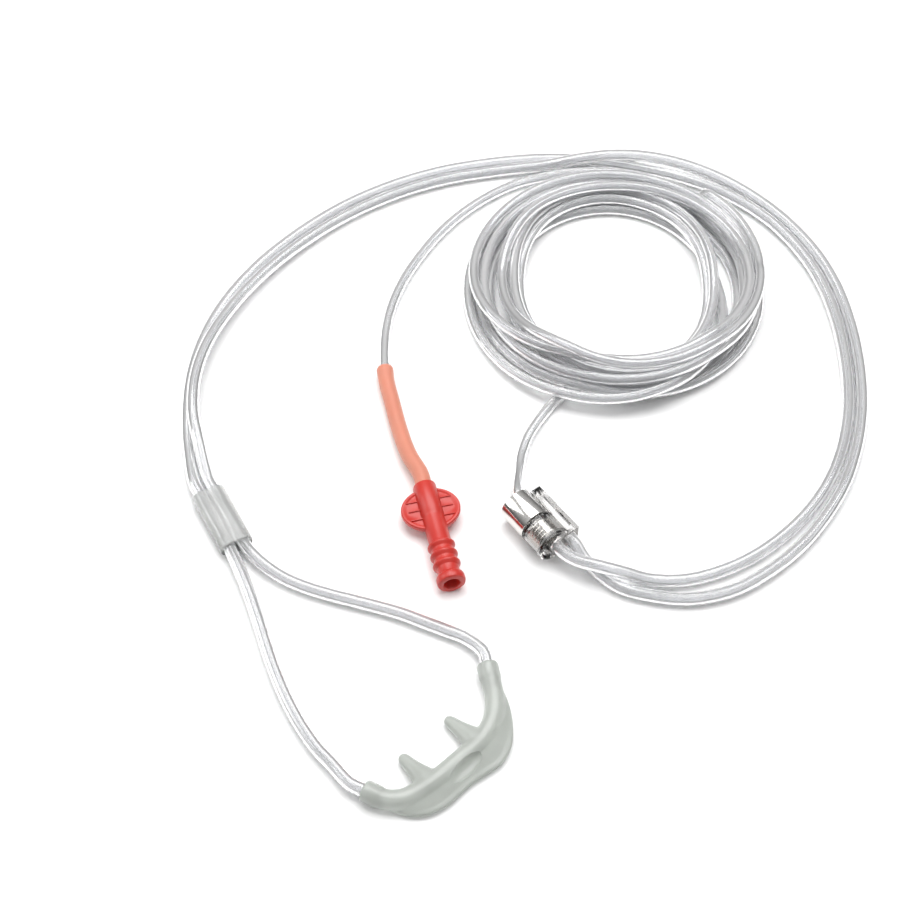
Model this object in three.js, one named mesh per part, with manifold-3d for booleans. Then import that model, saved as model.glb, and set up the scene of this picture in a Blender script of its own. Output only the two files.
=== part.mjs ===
// Carbon dioxide sampling nasal cannula, laid out on a table.
// Millimetres, +Z up. The table is z = 0, +X runs to the right and +Y away from the viewer.
import * as THREE from "three";
import { mergeVertices } from "three/addons/utils/BufferGeometryUtils.js";
import Module from "manifold-3d";

const wasm = await Module();
wasm.setup();

const DEGREE = Math.PI / 180;

// Tubes
const LARIAT_OD = 3.3;
const SAMPLE_OD = 2.8;
const TUBE_SIDES = 8;
const TUBE_STEP = 6.6;
const SAMPLE_STEP = 5.6;

// Clearances
const RUNNING_GAP = 0.3;
const SOCKET_GAP = 0.2;
const SEAT_GAP = 0.15;
const REST_GAP = 0.2;

// Facets of round solids, and how far a cutter reaches past the face it opens
const ROUND_SIDES = 32;
const BORE_SIDES = 20;
const CUT_PAST = 1;

// Nasal piece, in its own frame: +X along the row of prongs, +Y the way they point
const ARM_OD = 4.7;
const ARM_STEP = 2.4;
const COLLAR_OD = 5.2;
const COLLAR_LENGTH = 5.5;
const COLLAR_SOCKET_DEPTH = 4;
const CHANNEL_BORE = 2.2;
const ARM_POINTS = [
  [-20.5, 8],
  [-18.6, 3.7],
  [-15.2, 0.8],
  [-9, -0.3],
  [0, 0],
  [7.5, 0.7],
  [12.9, 2.9],
  [16.7, 6.4],
  [19.3, 10.7],
  [21.7, 15.1],
];
const PRONG_SPACING = 15;
const PRONG_CENTRE = -0.5;
const PRONG_REACH = 10;
const PRONG_BASE_OD = 4.3;
const PRONG_TIP_OD = 2.5;
const PRONG_BORE = 1.3;
const PRONG_LIP = 0.15;
const PRONG_LEAN = 5 * DEGREE;
const PRONG_DROOP = 7 * DEGREE;
const BIB_THICKNESS = 1.3;
const BIB_LIFT = 0.5;
const BIB_EDGE = [
  [-18.6, 0.6],
  [-16.6, -2.6],
  [-13, -5.3],
  [-8.5, -6.4],
  [-3.9, -6.1],
  [-0.5, -5.8],
  [3.5, -6.1],
  [8.4, -6.2],
  [13, -4],
  [16.8, 0.2],
  [19.6, 5],
  [20.9, 9],
];

// Slider
const SLIDER_LENGTH = 18.4;
const SLIDER_WALL = 0.65;
const SLIDER_ROUND = 0.55;
const SLIDER_TRAVEL = 4;

// Union
const UNION_OD = 9.3;
const UNION_LENGTH = 16.2;
const SLEEVE_LENGTH = 8.4;
const SLEEVE_WALL = 0.45;
const SHELL_WALL = 0.6;
const WEB_LENGTH = 0.7;
const END_WALL = 1.7;
const END_SOCKET_DEPTH = 1;
const NECK_OD = 5.2;
const SPIGOT_OD = 7.7;
const THREAD_DEPTH = 0.45;
const THREAD_COUNT = 5;
const THREAD_CREST_START = 0.35;
const THREAD_CREST_END = 0.6;
const THREAD_ROOT_START = 0.95;
const RAIL_REACH = 6.9;
const RAIL_HEIGHT = 4.8;
const RAIL_SETBACK = 0.8;
const WINDOW_LENGTH = 2.4;
const WINDOW_WIDTH = 0.9;
const WINDOW_SETBACK = 0.8;
const GROOVE_LENGTH = 5.6;
const GROOVE_WIDTH = 0.45;
const GROOVE_DEPTH = 1.2;
const SHELL_MOUTH_WIDTH = 3;
const SHELL_MOUTH_ANGLE = -70 * DEGREE;
const SAMPLE_SOCKET_ACROSS = 2.1;
const SAMPLE_SOCKET_UP = 0.7;
const SAMPLE_SOCKET_DEPTH = 5;
const LARIAT_SOCKET_ACROSS = 0.1;
const LARIAT_SOCKET_SPACING = 4;
const LARIAT_SOCKET_UP = 0.2;
const LARIAT_STRAIGHT = 2.5;
const SAMPLE_STRAIGHT = 1.5;

// Strain relief sleeve on the sample line
const STRAIN_OD = 4.2;
const STRAIN_STRAIGHT = 4;
const STRAIN_STEP = 3;
const STRAIN_SIDES = 16;
const STRAIN_OVERLAP_ROWS = 2;

// Red connector
const CONNECTOR_LENGTH = 30;
const CONNECTOR_COLLAR_OD = 5.9;
const CONNECTOR_COLLAR_LENGTH = 9.4;
const CONNECTOR_BARREL_OD = 5.6;
const CONNECTOR_RING_OD = 7.1;
const CONNECTOR_RING_FIRST = 19.3;
const CONNECTOR_RING_PITCH = 2.8;
const CONNECTOR_RING_WIDTH = 1.2;
const CONNECTOR_RING_COUNT = 3;
const CONNECTOR_RING_INSET = 0.1;
const CONNECTOR_CHAMFER = 0.4;
const CONNECTOR_FLANGE_LENGTH = 2.1;
const CONNECTOR_BORE = 3.8;
const CONNECTOR_BORE_DEPTH = 12;
const CONNECTOR_CORE_BORE = 2;
const CONNECTOR_SOCKET_DEPTH = 3;
const PADDLE_WIDTH = 14.9;
const PADDLE_LENGTH = 12.6;
const PADDLE_THICKNESS = 1.5;
const PADDLE_AT = 7.4;
const PADDLE_RIB_PITCH = 2.7;
const PADDLE_RIB_COUNT = 3;
const PADDLE_RIB_WIDTH = 0.6;
const PADDLE_RIB_HEIGHT = 0.7;
const PADDLE_RIB_REACH = 5.6;

// Coil of the sample line
const COIL_AT = [44.1, 53.6];
const COIL_OUTER_RADIUS = 42;
const COIL_INNER_RADIUS = 25;
const COIL_LAYERS = 3;
const COIL_EDGE = 1.4;
const COIL_SIDES = 48;

// Where each hard piece lies on the table, and how far it is turned
const NASAL_AT = { x: 1.6, y: -90.7, z: COLLAR_OD / 2, turn: 39.7 * DEGREE };
const PAIR_SPACING = LARIAT_OD + RUNNING_GAP;
const SLIDER_BORE_WIDTH = PAIR_SPACING + LARIAT_OD + 2 * SEAT_GAP;
const SLIDER_BORE_HEIGHT = LARIAT_OD + 2 * SEAT_GAP;
const SLIDER_WIDTH = SLIDER_BORE_WIDTH + 2 * SLIDER_WALL;
const SLIDER_HEIGHT = SLIDER_BORE_HEIGHT + 2 * SLIDER_WALL;
const SLIDER_AT = { x: -56.4, y: -23.6, z: SLIDER_HEIGHT / 2, turn: -62.4 * DEGREE };
const UNION_AT = { x: 16.2, y: -20.1, z: UNION_OD / 2, turn: -53.3 * DEGREE };
const CONNECTOR_AT = { x: -6.5, y: -14.2, z: CONNECTOR_RING_OD / 2, turn: -76.5 * DEGREE };

// The two lariat tubes run as a pair from the union to the slider. Each row is the middle
// of the pair, the angle by which the pair leans about its own run, the spare room between
// the tubes and the extra height. At 0 the left tube is on the outside, at 90 it is on top.
const PAIR_ROWS = [
  [31.6, -36.2, 35, 0.2, 1],
  [35.8, -39.3, 80, 0.2, 0.2],
  [41.4, -41.9, 135, 0.2],
  [48.2, -43.4, 172, 0.6],
  [57.3, -43.8, 180, 1.9],
  [67.3, -41.2, 180, 2.5],
  [76.1, -36.2, 180, 1.9],
  [84.3, -29.4, 180, 1.4],
  [91.7, -20.8, 180, 0.6],
  [97.8, -11, 180, 0.2],
  [102.2, 0, 180, 0],
  [104.8, 10.2, 180, 0],
  [106.2, 20.6, 180, 0],
  [106.6, 31.4, 180, 0],
  [106, 43, 180, 0],
  [104, 55.2, 180, 0],
  [99.7, 67.8, 180, 0],
  [91.8, 81, 180, 0],
  [80.2, 92.2, 190, 0.2],
  [68, 98.6, 215, 0.2],
  [57.2, 101.6, 245, 0.2],
  [47.4, 103, 275, 0.2],
  [37.6, 103.5, 310, 0.2],
  [27.4, 103.3, 345, 0.2],
  [14.4, 102, 360, 0],
  [-1.3, 98.5, 360, 0],
  [-15, 93, 360, 0],
  [-28.6, 84.8, 360, 0],
  [-41, 74, 355, 0],
  [-52.2, 60.8, 345, 0.2],
  [-60.8, 45.9, 330, 0.2],
  [-65.5, 32.4, 310, 0.2],
  [-67.3, 20.6, 298, 0.2],
  [-67, 9, 298, 0.2],
  [-65.4, -0.4, 315, 0.2],
];

// Left and right tubes below the slider, as places and heights above their resting height
const LEFT_BRANCH = [
  [-50, -41, 0.3],
  [-47.3, -48, 0],
  [-44.9, -55, 0],
  [-42.6, -62, 0],
  [-40.2, -68.4, 0],
  [-37.4, -74.8, 0],
  [-34.1, -81, 0],
  [-30.4, -86.6, 0],
  [-26.4, -91.2, 0.2],
];
const RIGHT_BRANCH = [
  [-46, -36.2, 0.4],
  [-40.4, -40.4, 0],
  [-34.8, -43.2, 0],
  [-29, -45.3, 0],
  [-23, -47.1, 0],
  [-17, -48.9, 0],
  [-11.4, -50.8, 0],
  [-6, -53.2, 0],
  [-1, -55.4, 0],
  [3.6, -57.6, 0.2],
];

// Sample line: from the union to the coil, and from the coil to the strain relief sleeve
const UNION_END = [
  [17.6, -7.2, 0.6],
  [18.5, -1.6, 0],
  [20.4, 3.9, 0],
  [23.4, 9.2, 0],
  [27.15, 14.55, 0],
];
const CONNECTOR_END = [
  [43, 97.3, 0],
  [34, 98.1, 0],
  [27, 97.6, 0],
  [20.4, 95.7, 0],
  [13.8, 92, 0],
  [5.4, 85.2, 0],
  [-1.6, 77.2, 0],
  [-7.8, 67.6, 0],
  [-12.7, 57.6, 0],
  [-15.9, 47.6, 0],
  [-17.3, 37.8, 0],
];
const STRAIN_ROUTE = [
  [-17.2, 25.3, 0],
  [-16.6, 20.6, 0],
  [-15.2, 14.4, 0],
  [-13, 4.8, 0.1],
  [-10.4, -4, 0.8],
];

// One closed solid from a geometry, with its shared corners merged.
function solidOf(geometry) {
  const bare = geometry.clone();
  bare.deleteAttribute("normal");
  bare.deleteAttribute("uv");
  const merged = mergeVertices(bare, 1e-4);
  return new wasm.Manifold(
    new wasm.Mesh({
      numProp: 3,
      vertProperties: merged.attributes.position.array,
      triVerts: new Uint32Array(merged.index.array),
    }),
  );
}

function geometryOf(solid) {
  const mesh = solid.getMesh();
  const geometry = new THREE.BufferGeometry();
  geometry.setAttribute("position", new THREE.BufferAttribute(mesh.vertProperties, 3));
  geometry.setIndex(new THREE.BufferAttribute(mesh.triVerts, 1));
  geometry.computeVertexNormals();
  return geometry;
}

const joined = (solids) => solids.reduce((whole, solid) => whole.add(solid));

// A named mesh, from a geometry or from a solid.
function piece(name, shape, color, roughness, metalness) {
  const geometry = shape.isBufferGeometry ? shape : geometryOf(shape);
  const finish = new THREE.MeshStandardMaterial({ color, roughness, metalness });
  const mesh = new THREE.Mesh(geometry, finish);
  mesh.name = name;
  return mesh;
}

// A turned solid about the X axis. Each corner of the profile is [along, radius].
function turned(profile, sides = ROUND_SIDES) {
  const corners = profile.map(([along, radius]) => new THREE.Vector2(radius, along));
  return solidOf(new THREE.LatheGeometry(corners, sides).rotateZ(-Math.PI / 2));
}

// A plain round rod about the X axis, moved sideways by across and up.
function rod(start, end, radius, across = 0, up = 0, sides = ROUND_SIDES) {
  const profile = [
    [start, 0],
    [start, radius],
    [end, radius],
    [end, 0],
  ];
  return turned(profile, sides).translate([0, across, up]);
}

// A block between two opposite corners.
function block(low, high) {
  const size = high.map((value, axis) => value - low[axis]);
  const middle = high.map((value, axis) => (value + low[axis]) / 2);
  return solidOf(new THREE.BoxGeometry(...size).translate(...middle));
}

function circle(radius, hole = 0) {
  const shape = new THREE.Shape().absarc(0, 0, radius, 0, 2 * Math.PI);
  if (hole > 0) {
    shape.holes.push(new THREE.Path().absarc(0, 0, hole, 0, 2 * Math.PI, true));
  }
  return shape;
}

// A round tube along a curve, with flat ends.
function swept(curve, shape, step, sides) {
  const steps = Math.ceil(curve.getLength() / step);
  return new THREE.ExtrudeGeometry(shape, {
    extrudePath: curve,
    steps,
    curveSegments: sides / 2,
    bevelEnabled: false,
  });
}

const smooth = (points) => new THREE.CatmullRomCurve3(points, false, "centripetal");

// A place in a hard piece's own frame, on the table.
function placed(frame, along, across, up = 0) {
  const x = frame.x + along * Math.cos(frame.turn) - across * Math.sin(frame.turn);
  const y = frame.y + along * Math.sin(frame.turn) + across * Math.cos(frame.turn);
  return new THREE.Vector3(x, y, frame.z + up);
}

function seated(frame, meshes) {
  const group = new THREE.Group();
  group.position.set(frame.x, frame.y, frame.z);
  group.rotation.z = frame.turn;
  group.add(...meshes);
  return group;
}

// Route rows of places and extra heights, for a tube that rests on the table.
const resting = (rows, od) =>
  rows.map(([x, y, lift]) => new THREE.Vector3(x, y, od / 2 + REST_GAP + lift));

// The curve through the nasal piece's arms: straight collars at its two ends.
const armPoints = ARM_POINTS.map(([x, y]) => new THREE.Vector3(x, y, 0));
const armCurve = smooth(armPoints);

// A point on the straight axis of the left or right collar, a distance inside its mouth.
function collarPoint(atEnd, inside) {
  const mouth = armCurve.getPointAt(atEnd);
  const inward = armCurve.getTangentAt(atEnd).multiplyScalar(atEnd === 0 ? 1 : -1);
  return mouth.addScaledVector(inward, inside);
}

function collarRod(atEnd, from, to, radius, sides) {
  const line = new THREE.LineCurve3(collarPoint(atEnd, from), collarPoint(atEnd, to));
  return solidOf(swept(line, circle(radius), line.getLength(), sides));
}

// The share of the arm's length at which it passes a given X.
function nearestOnArm(x) {
  let low = 0;
  let high = 1;
  for (let halving = 0; halving < 14; halving += 1) {
    const middle = (low + high) / 2;
    if (armCurve.getPointAt(middle).x < x) low = middle;
    else high = middle;
  }
  return low;
}

// A round solid standing on the arm's axis where a prong is. Each corner of the profile is a
// share of the prong's reach and a radius.
function prong(side, corners) {
  const foot = armCurve.getPointAt(nearestOnArm(PRONG_CENTRE + (side * PRONG_SPACING) / 2));
  const profile = corners.map(([share, radius]) => [share * PRONG_REACH, radius]);
  const turn = new THREE.Matrix4().makeRotationZ(Math.PI / 2 + PRONG_LEAN);
  const droop = new THREE.Matrix4().makeRotationY(PRONG_DROOP);
  const place = new THREE.Matrix4().makeTranslation(foot.x, foot.y, foot.z);
  return turned(profile, BORE_SIDES).transform(place.multiply(turn).multiply(droop).toArray());
}

// The bib: a thin two-lobed flap on the side away from the prongs.
function bib() {
  const outline = new THREE.Shape();
  outline.moveTo(...BIB_EDGE[0]);
  outline.splineThru(BIB_EDGE.slice(1).map(([x, y]) => new THREE.Vector2(x, y)));
  const inner = [...ARM_POINTS].reverse().slice(2, -1);
  inner.forEach(([x, y]) => outline.lineTo(x, y));
  outline.closePath();
  const options = { depth: BIB_THICKNESS, bevelEnabled: false, curveSegments: 3 };
  const flap = new THREE.ExtrudeGeometry(outline, options);
  return solidOf(flap.translate(0, 0, BIB_LIFT - COLLAR_OD / 2));
}

function nasalPiece() {
  const base = PRONG_BASE_OD / 2;
  const tip = PRONG_TIP_OD / 2;
  const outside = [
    [0, 0],
    [0, base],
    [0.3, base],
    [0.55, (base + tip) / 2],
    [0.9, tip],
    [0.97, tip * 0.85],
    [1, PRONG_BORE / 2 + PRONG_LIP],
    [1, 0],
  ];
  const bore = [
    [0, 0],
    [0, PRONG_BORE / 2],
    [1.1, PRONG_BORE / 2],
    [1.1, 0],
  ];
  const ends = [0, 1];
  const sides = [-1, 1];
  const socket = LARIAT_OD / 2 + SOCKET_GAP;
  const body = joined([
    solidOf(swept(armCurve, circle(ARM_OD / 2), ARM_STEP, BORE_SIDES)),
    ...ends.map((end) => collarRod(end, 0, COLLAR_LENGTH, COLLAR_OD / 2, BORE_SIDES)),
    ...sides.map((side) => prong(side, outside)),
    bib(),
  ]);
  const hollow = joined([
    solidOf(swept(armCurve, circle(CHANNEL_BORE / 2), ARM_STEP, BORE_SIDES)),
    ...ends.map((end) => collarRod(end, -CUT_PAST, COLLAR_SOCKET_DEPTH, socket, BORE_SIDES)),
    ...sides.map((side) => prong(side, bore)),
  ]);
  return body.subtract(hollow);
}

// The slider: an oval sleeve that both lariat tubes pass through.
function slider() {
  const half = SLIDER_LENGTH / 2;
  const oval = (width, height, from, to, bevel) => {
    const radius = height / 2 - bevel;
    const offset = (width - height) / 2;
    const shape = new THREE.Shape();
    shape.absarc(offset, 0, radius, -Math.PI / 2, Math.PI / 2);
    shape.absarc(-offset, 0, radius, Math.PI / 2, (3 * Math.PI) / 2);
    const options = {
      depth: to - from - 2 * bevel,
      bevelEnabled: bevel > 0,
      bevelSize: bevel,
      bevelThickness: bevel,
      bevelSegments: 3,
      curveSegments: 8,
    };
    const run = new THREE.ExtrudeGeometry(shape, options).translate(0, 0, from + bevel);
    return solidOf(run.rotateX(Math.PI / 2).rotateZ(Math.PI / 2));
  };
  const outside = oval(SLIDER_WIDTH, SLIDER_HEIGHT, -half, half, SLIDER_ROUND);
  const from = -half - CUT_PAST;
  return outside.subtract(oval(SLIDER_BORE_WIDTH, SLIDER_BORE_HEIGHT, from, half + CUT_PAST, 0));
}

// Union: the clear body, with its core, neck, shell, end wall and side rail.
function unionBody() {
  const outer = UNION_OD / 2;
  const shellStart = SLEEVE_LENGTH + RUNNING_GAP;
  const webEnd = shellStart + WEB_LENGTH;
  const endStart = UNION_LENGTH - END_WALL;
  const coreRadius = outer - SLEEVE_WALL - SEAT_GAP;
  const shellBore = outer - SHELL_WALL;
  const rail = block(
    [RAIL_SETBACK, NECK_OD / 2, -RAIL_HEIGHT / 2],
    [UNION_LENGTH, RAIL_REACH, RAIL_HEIGHT / 2],
  )
    .subtract(rod(-CUT_PAST, shellStart, outer + SOCKET_GAP))
    .subtract(rod(webEnd, endStart, shellBore));
  const windowStart = RAIL_SETBACK + WINDOW_SETBACK;
  const windowMiddle = (outer + RAIL_REACH) / 2;
  const window = block(
    [windowStart, windowMiddle - WINDOW_WIDTH / 2, -RAIL_HEIGHT],
    [windowStart + WINDOW_LENGTH, windowMiddle + WINDOW_WIDTH / 2, RAIL_HEIGHT],
  );
  const groove = block(
    [shellStart, windowMiddle - GROOVE_WIDTH / 2, RAIL_HEIGHT / 2 - GROOVE_DEPTH],
    [shellStart + GROOVE_LENGTH, windowMiddle + GROOVE_WIDTH / 2, RAIL_HEIGHT],
  );
  const mouth = block(
    [webEnd, 0, -SHELL_MOUTH_WIDTH / 2],
    [endStart, UNION_OD, SHELL_MOUTH_WIDTH / 2],
  )
    .subtract(rod(0, UNION_LENGTH, NECK_OD / 2))
    .rotate([SHELL_MOUTH_ANGLE / DEGREE, 0, 0]);
  const lariatSockets = [0, 1].map((index) =>
    rod(
      UNION_LENGTH - END_SOCKET_DEPTH,
      UNION_LENGTH + CUT_PAST,
      LARIAT_OD / 2 + SOCKET_GAP,
      LARIAT_SOCKET_ACROSS + index * LARIAT_SOCKET_SPACING,
      LARIAT_SOCKET_UP,
      BORE_SIDES,
    ),
  );
  const sampleSocket = rod(
    -CUT_PAST,
    SAMPLE_SOCKET_DEPTH,
    SAMPLE_OD / 2 + SOCKET_GAP,
    SAMPLE_SOCKET_ACROSS,
    SAMPLE_SOCKET_UP,
    BORE_SIDES,
  );
  const shell = rod(shellStart, UNION_LENGTH, outer)
    .subtract(rod(webEnd, endStart, shellBore))
    .add(rod(webEnd - WEB_LENGTH / 2, endStart + END_WALL / 2, NECK_OD / 2));
  return joined([rod(0, webEnd, coreRadius), shell, rail])
    .subtract(window)
    .subtract(groove)
    .subtract(mouth)
    .subtract(joined([...lariatSockets, sampleSocket]));
}

function unionSleeve() {
  const outer = UNION_OD / 2;
  const bore = outer - SLEEVE_WALL;
  const edge = SLEEVE_WALL / 3;
  return turned([
    [0, bore],
    [0, outer - edge],
    [edge, outer],
    [SLEEVE_LENGTH, outer],
    [SLEEVE_LENGTH, bore],
    [0, bore],
  ]);
}

// The threaded ring round the union's neck, seen through the clear shell.
function unionSpigot() {
  const start = SLEEVE_LENGTH + RUNNING_GAP + WEB_LENGTH + SEAT_GAP;
  const end = UNION_LENGTH - END_WALL - SEAT_GAP;
  const pitch = (end - start) / THREAD_COUNT;
  const crest = SPIGOT_OD / 2;
  const root = crest - THREAD_DEPTH;
  const bore = NECK_OD / 2 + SEAT_GAP;
  const profile = [[start, bore]];
  for (let turn = 0; turn < THREAD_COUNT; turn += 1) {
    const from = start + turn * pitch;
    profile.push([from, root], [from + pitch * THREAD_CREST_START, crest]);
    profile.push([from + pitch * THREAD_CREST_END, crest]);
    profile.push([from + pitch * THREAD_ROOT_START, root]);
  }
  profile.push([end, root], [end, bore], [start, bore]);
  return turned(profile);
}

// The red connector: a barrel with a collar, rings, an end flange and a ribbed paddle.
function connector() {
  const collar = CONNECTOR_COLLAR_OD / 2;
  const barrel = CONNECTOR_BARREL_OD / 2;
  const ring = CONNECTOR_RING_OD / 2;
  const chamfer = CONNECTOR_CHAMFER;
  const crest = ring - CONNECTOR_RING_INSET;
  const profile = [
    [0, 0],
    [0, collar - chamfer],
    [chamfer, collar],
    [CONNECTOR_COLLAR_LENGTH, collar],
    [CONNECTOR_COLLAR_LENGTH + chamfer, barrel],
  ];
  for (let index = 0; index < CONNECTOR_RING_COUNT; index += 1) {
    const from = CONNECTOR_RING_FIRST + index * CONNECTOR_RING_PITCH - CONNECTOR_RING_WIDTH;
    const to = from + CONNECTOR_RING_WIDTH;
    profile.push([from, barrel], [from + chamfer, crest]);
    profile.push([to, crest], [to + chamfer, barrel]);
  }
  const flange = CONNECTOR_LENGTH - CONNECTOR_FLANGE_LENGTH;
  profile.push([flange - chamfer, barrel], [flange, ring]);
  profile.push([CONNECTOR_LENGTH - chamfer, ring], [CONNECTOR_LENGTH, ring - chamfer]);
  profile.push([CONNECTOR_LENGTH, 0]);
  const oval = new THREE.Shape().absellipse(
    PADDLE_AT, 0, PADDLE_LENGTH / 2, PADDLE_WIDTH / 2, 0, 2 * Math.PI,
  );
  const options = { depth: PADDLE_THICKNESS, bevelEnabled: false, curveSegments: 20 };
  const plate = new THREE.ExtrudeGeometry(oval, options).translate(0, 0, -PADDLE_THICKNESS / 2);
  const ribs = [];
  for (let index = 0; index < PADDLE_RIB_COUNT; index += 1) {
    const at = PADDLE_AT + (index - (PADDLE_RIB_COUNT - 1) / 2) * PADDLE_RIB_PITCH;
    const half = PADDLE_THICKNESS / 2 + PADDLE_RIB_HEIGHT;
    ribs.push(
      block(
        [at - PADDLE_RIB_WIDTH / 2, -PADDLE_RIB_REACH, -half],
        [at + PADDLE_RIB_WIDTH / 2, PADDLE_RIB_REACH, half],
      ),
    );
  }
  const socket = STRAIN_OD / 2 + SOCKET_GAP / 2;
  const boreStart = CONNECTOR_LENGTH - CONNECTOR_BORE_DEPTH;
  return joined([turned(profile), solidOf(plate), ...ribs])
    .subtract(rod(-CUT_PAST, CONNECTOR_SOCKET_DEPTH, socket))
    .subtract(rod(CUT_PAST, CONNECTOR_LENGTH - CUT_PAST, CONNECTOR_CORE_BORE / 2))
    .subtract(rod(boreStart, CONNECTOR_LENGTH + CUT_PAST, CONNECTOR_BORE / 2));
}

// The two tubes of the pair between union and slider. side is 1 for the left tube, -1 for the right.
function pairPoints(side) {
  const offsets = PAIR_ROWS.map(([x, y, lean, spare, lift = 0], index) => {
    const before = PAIR_ROWS[Math.max(index - 1, 0)];
    const after = PAIR_ROWS[Math.min(index + 1, PAIR_ROWS.length - 1)];
    const run = new THREE.Vector2(after[0] - before[0], after[1] - before[1]).normalize();
    const half = (PAIR_SPACING + spare) / 2;
    const out = side * half * Math.cos(lean * DEGREE);
    const up = side * half * Math.sin(lean * DEGREE);
    const middle = LARIAT_OD / 2 + REST_GAP + lift + half * Math.abs(Math.sin(lean * DEGREE));
    return new THREE.Vector3(x + run.y * out, y - run.x * out, middle + up);
  });
  const socketAcross = LARIAT_SOCKET_ACROSS + (side < 0 ? LARIAT_SOCKET_SPACING : 0);
  const inUnion = [-END_SOCKET_DEPTH + SOCKET_GAP, 0, LARIAT_STRAIGHT].map((along) =>
    placed(UNION_AT, UNION_LENGTH + along, socketAcross, LARIAT_SOCKET_UP),
  );
  const across = (-side * PAIR_SPACING) / 2;
  const half = SLIDER_LENGTH / 2;
  const inSlider = [-half - SLIDER_TRAVEL, -half, 0, half].map((along) =>
    placed(SLIDER_AT, along, across),
  );
  return [...inUnion, ...offsets, ...inSlider];
}

function lariatTube(side) {
  const atEnd = side > 0 ? 0 : 1;
  const branch = side > 0 ? LEFT_BRANCH : RIGHT_BRANCH;
  const inCollar = [-TUBE_STEP / 2, 0, COLLAR_SOCKET_DEPTH - SOCKET_GAP].map((inside) => {
    const local = collarPoint(atEnd, inside);
    return placed(NASAL_AT, local.x, local.y);
  });
  const points = [...pairPoints(side), ...resting(branch, LARIAT_OD), ...inCollar];
  return swept(smooth(points), circle(LARIAT_OD / 2), TUBE_STEP, TUBE_SIDES);
}

function sampleUnionEnd() {
  const socket = [SAMPLE_SOCKET_DEPTH - SOCKET_GAP, 0, -SAMPLE_STRAIGHT].map((along) =>
    placed(UNION_AT, along, SAMPLE_SOCKET_ACROSS, SAMPLE_SOCKET_UP),
  );
  const points = [...socket, ...resting(UNION_END, SAMPLE_OD)];
  return swept(smooth(points), circle(SAMPLE_OD / 2), SAMPLE_STEP / 2, TUBE_SIDES);
}

function sampleConnectorEnd() {
  const inSleeve = resting(STRAIN_ROUTE, STRAIN_OD).slice(0, STRAIN_OVERLAP_ROWS);
  const points = [...resting(CONNECTOR_END, SAMPLE_OD), ...inSleeve];
  return swept(smooth(points), circle(SAMPLE_OD / 2), SAMPLE_STEP, TUBE_SIDES);
}

function strainSleeve() {
  const inCollar = [-STRAIN_STRAIGHT, 0, CONNECTOR_SOCKET_DEPTH - SOCKET_GAP].map((along) =>
    placed(CONNECTOR_AT, along, 0),
  );
  const points = [...resting(STRAIN_ROUTE, STRAIN_OD), ...inCollar];
  const shape = circle(STRAIN_OD / 2, SAMPLE_OD / 2 + SOCKET_GAP);
  return swept(smooth(points), shape, STRAIN_STEP, STRAIN_SIDES);
}

// The coil's outer shape: a flat ring with eased edges.
function coilRing() {
  const top = COIL_LAYERS * SAMPLE_OD;
  const edge = COIL_EDGE;
  const corners = [
    [COIL_INNER_RADIUS, edge],
    [COIL_INNER_RADIUS + edge, 0],
    [COIL_OUTER_RADIUS - edge, 0],
    [COIL_OUTER_RADIUS, edge],
    [COIL_OUTER_RADIUS, top - edge],
    [COIL_OUTER_RADIUS - edge, top],
    [COIL_INNER_RADIUS + edge, top],
    [COIL_INNER_RADIUS, top - edge],
    [COIL_INNER_RADIUS, edge],
  ].map(([radius, height]) => new THREE.Vector2(radius, height));
  const ring = new THREE.LatheGeometry(corners, COIL_SIDES).rotateX(Math.PI / 2);
  return ring.translate(COIL_AT[0], COIL_AT[1], 0);
}

const FROSTED = 0xd9dcd6;
const CLEAR = 0xe2e4e6;
const CHROME = 0xc9c8c4;
const SALMON = 0xde8c73;
const RED = 0xc82d28;

const ownPieces = [
  seated(NASAL_AT, [piece("nasal_piece", nasalPiece(), FROSTED, 0.45, 0)]),
  seated(SLIDER_AT, [piece("slider", slider(), FROSTED, 0.5, 0)]),
  seated(UNION_AT, [
    piece("union_body", unionBody(), CLEAR, 0.1, 0),
    piece("union_sleeve", unionSleeve(), CHROME, 0.12, 1),
    piece("union_spigot", unionSpigot(), CHROME, 0.2, 1),
  ]),
];
const cordPieces = [
  piece("lariat_tube_left", lariatTube(1), CLEAR, 0.15, 0),
  piece("lariat_tube_right", lariatTube(-1), CLEAR, 0.15, 0),
  piece("sample_line_union_end", sampleUnionEnd(), CLEAR, 0.15, 0),
  piece("sample_line_coil", coilRing(), CLEAR, 0.15, 0),
  piece("sample_line_connector_end", sampleConnectorEnd(), CLEAR, 0.15, 0),
  piece("strain_sleeve", strainSleeve(), SALMON, 0.5, 0),
  seated(CONNECTOR_AT, [piece("connector", connector(), RED, 0.4, 0)]),
];

// The origin is on the table, under the middle of the nasal piece, slider and union together.
const table = new THREE.Group();
table.add(...ownPieces);
table.updateMatrixWorld(true);
const middle = new THREE.Box3().setFromObject(table, true).getCenter(new THREE.Vector3());
table.add(...cordPieces);
table.position.set(-middle.x, -middle.y, 0);

const cannula = new THREE.Group();
cannula.add(table);

export default cannula;
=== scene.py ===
"""Looks of a carbon dioxide sampling nasal cannula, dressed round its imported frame.

Blender works in metres. The routes and the hard pieces' own shapes are written in millimetres,
in the layout's own axes: the table is z = 0, +X runs to the right and +Y away from the viewer.
"""

import logging
import math
from dataclasses import dataclass, field
from enum import Enum
from typing import Callable, Iterable, Sequence

import bpy
import numpy as np
from mathutils import Matrix, Vector


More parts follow.
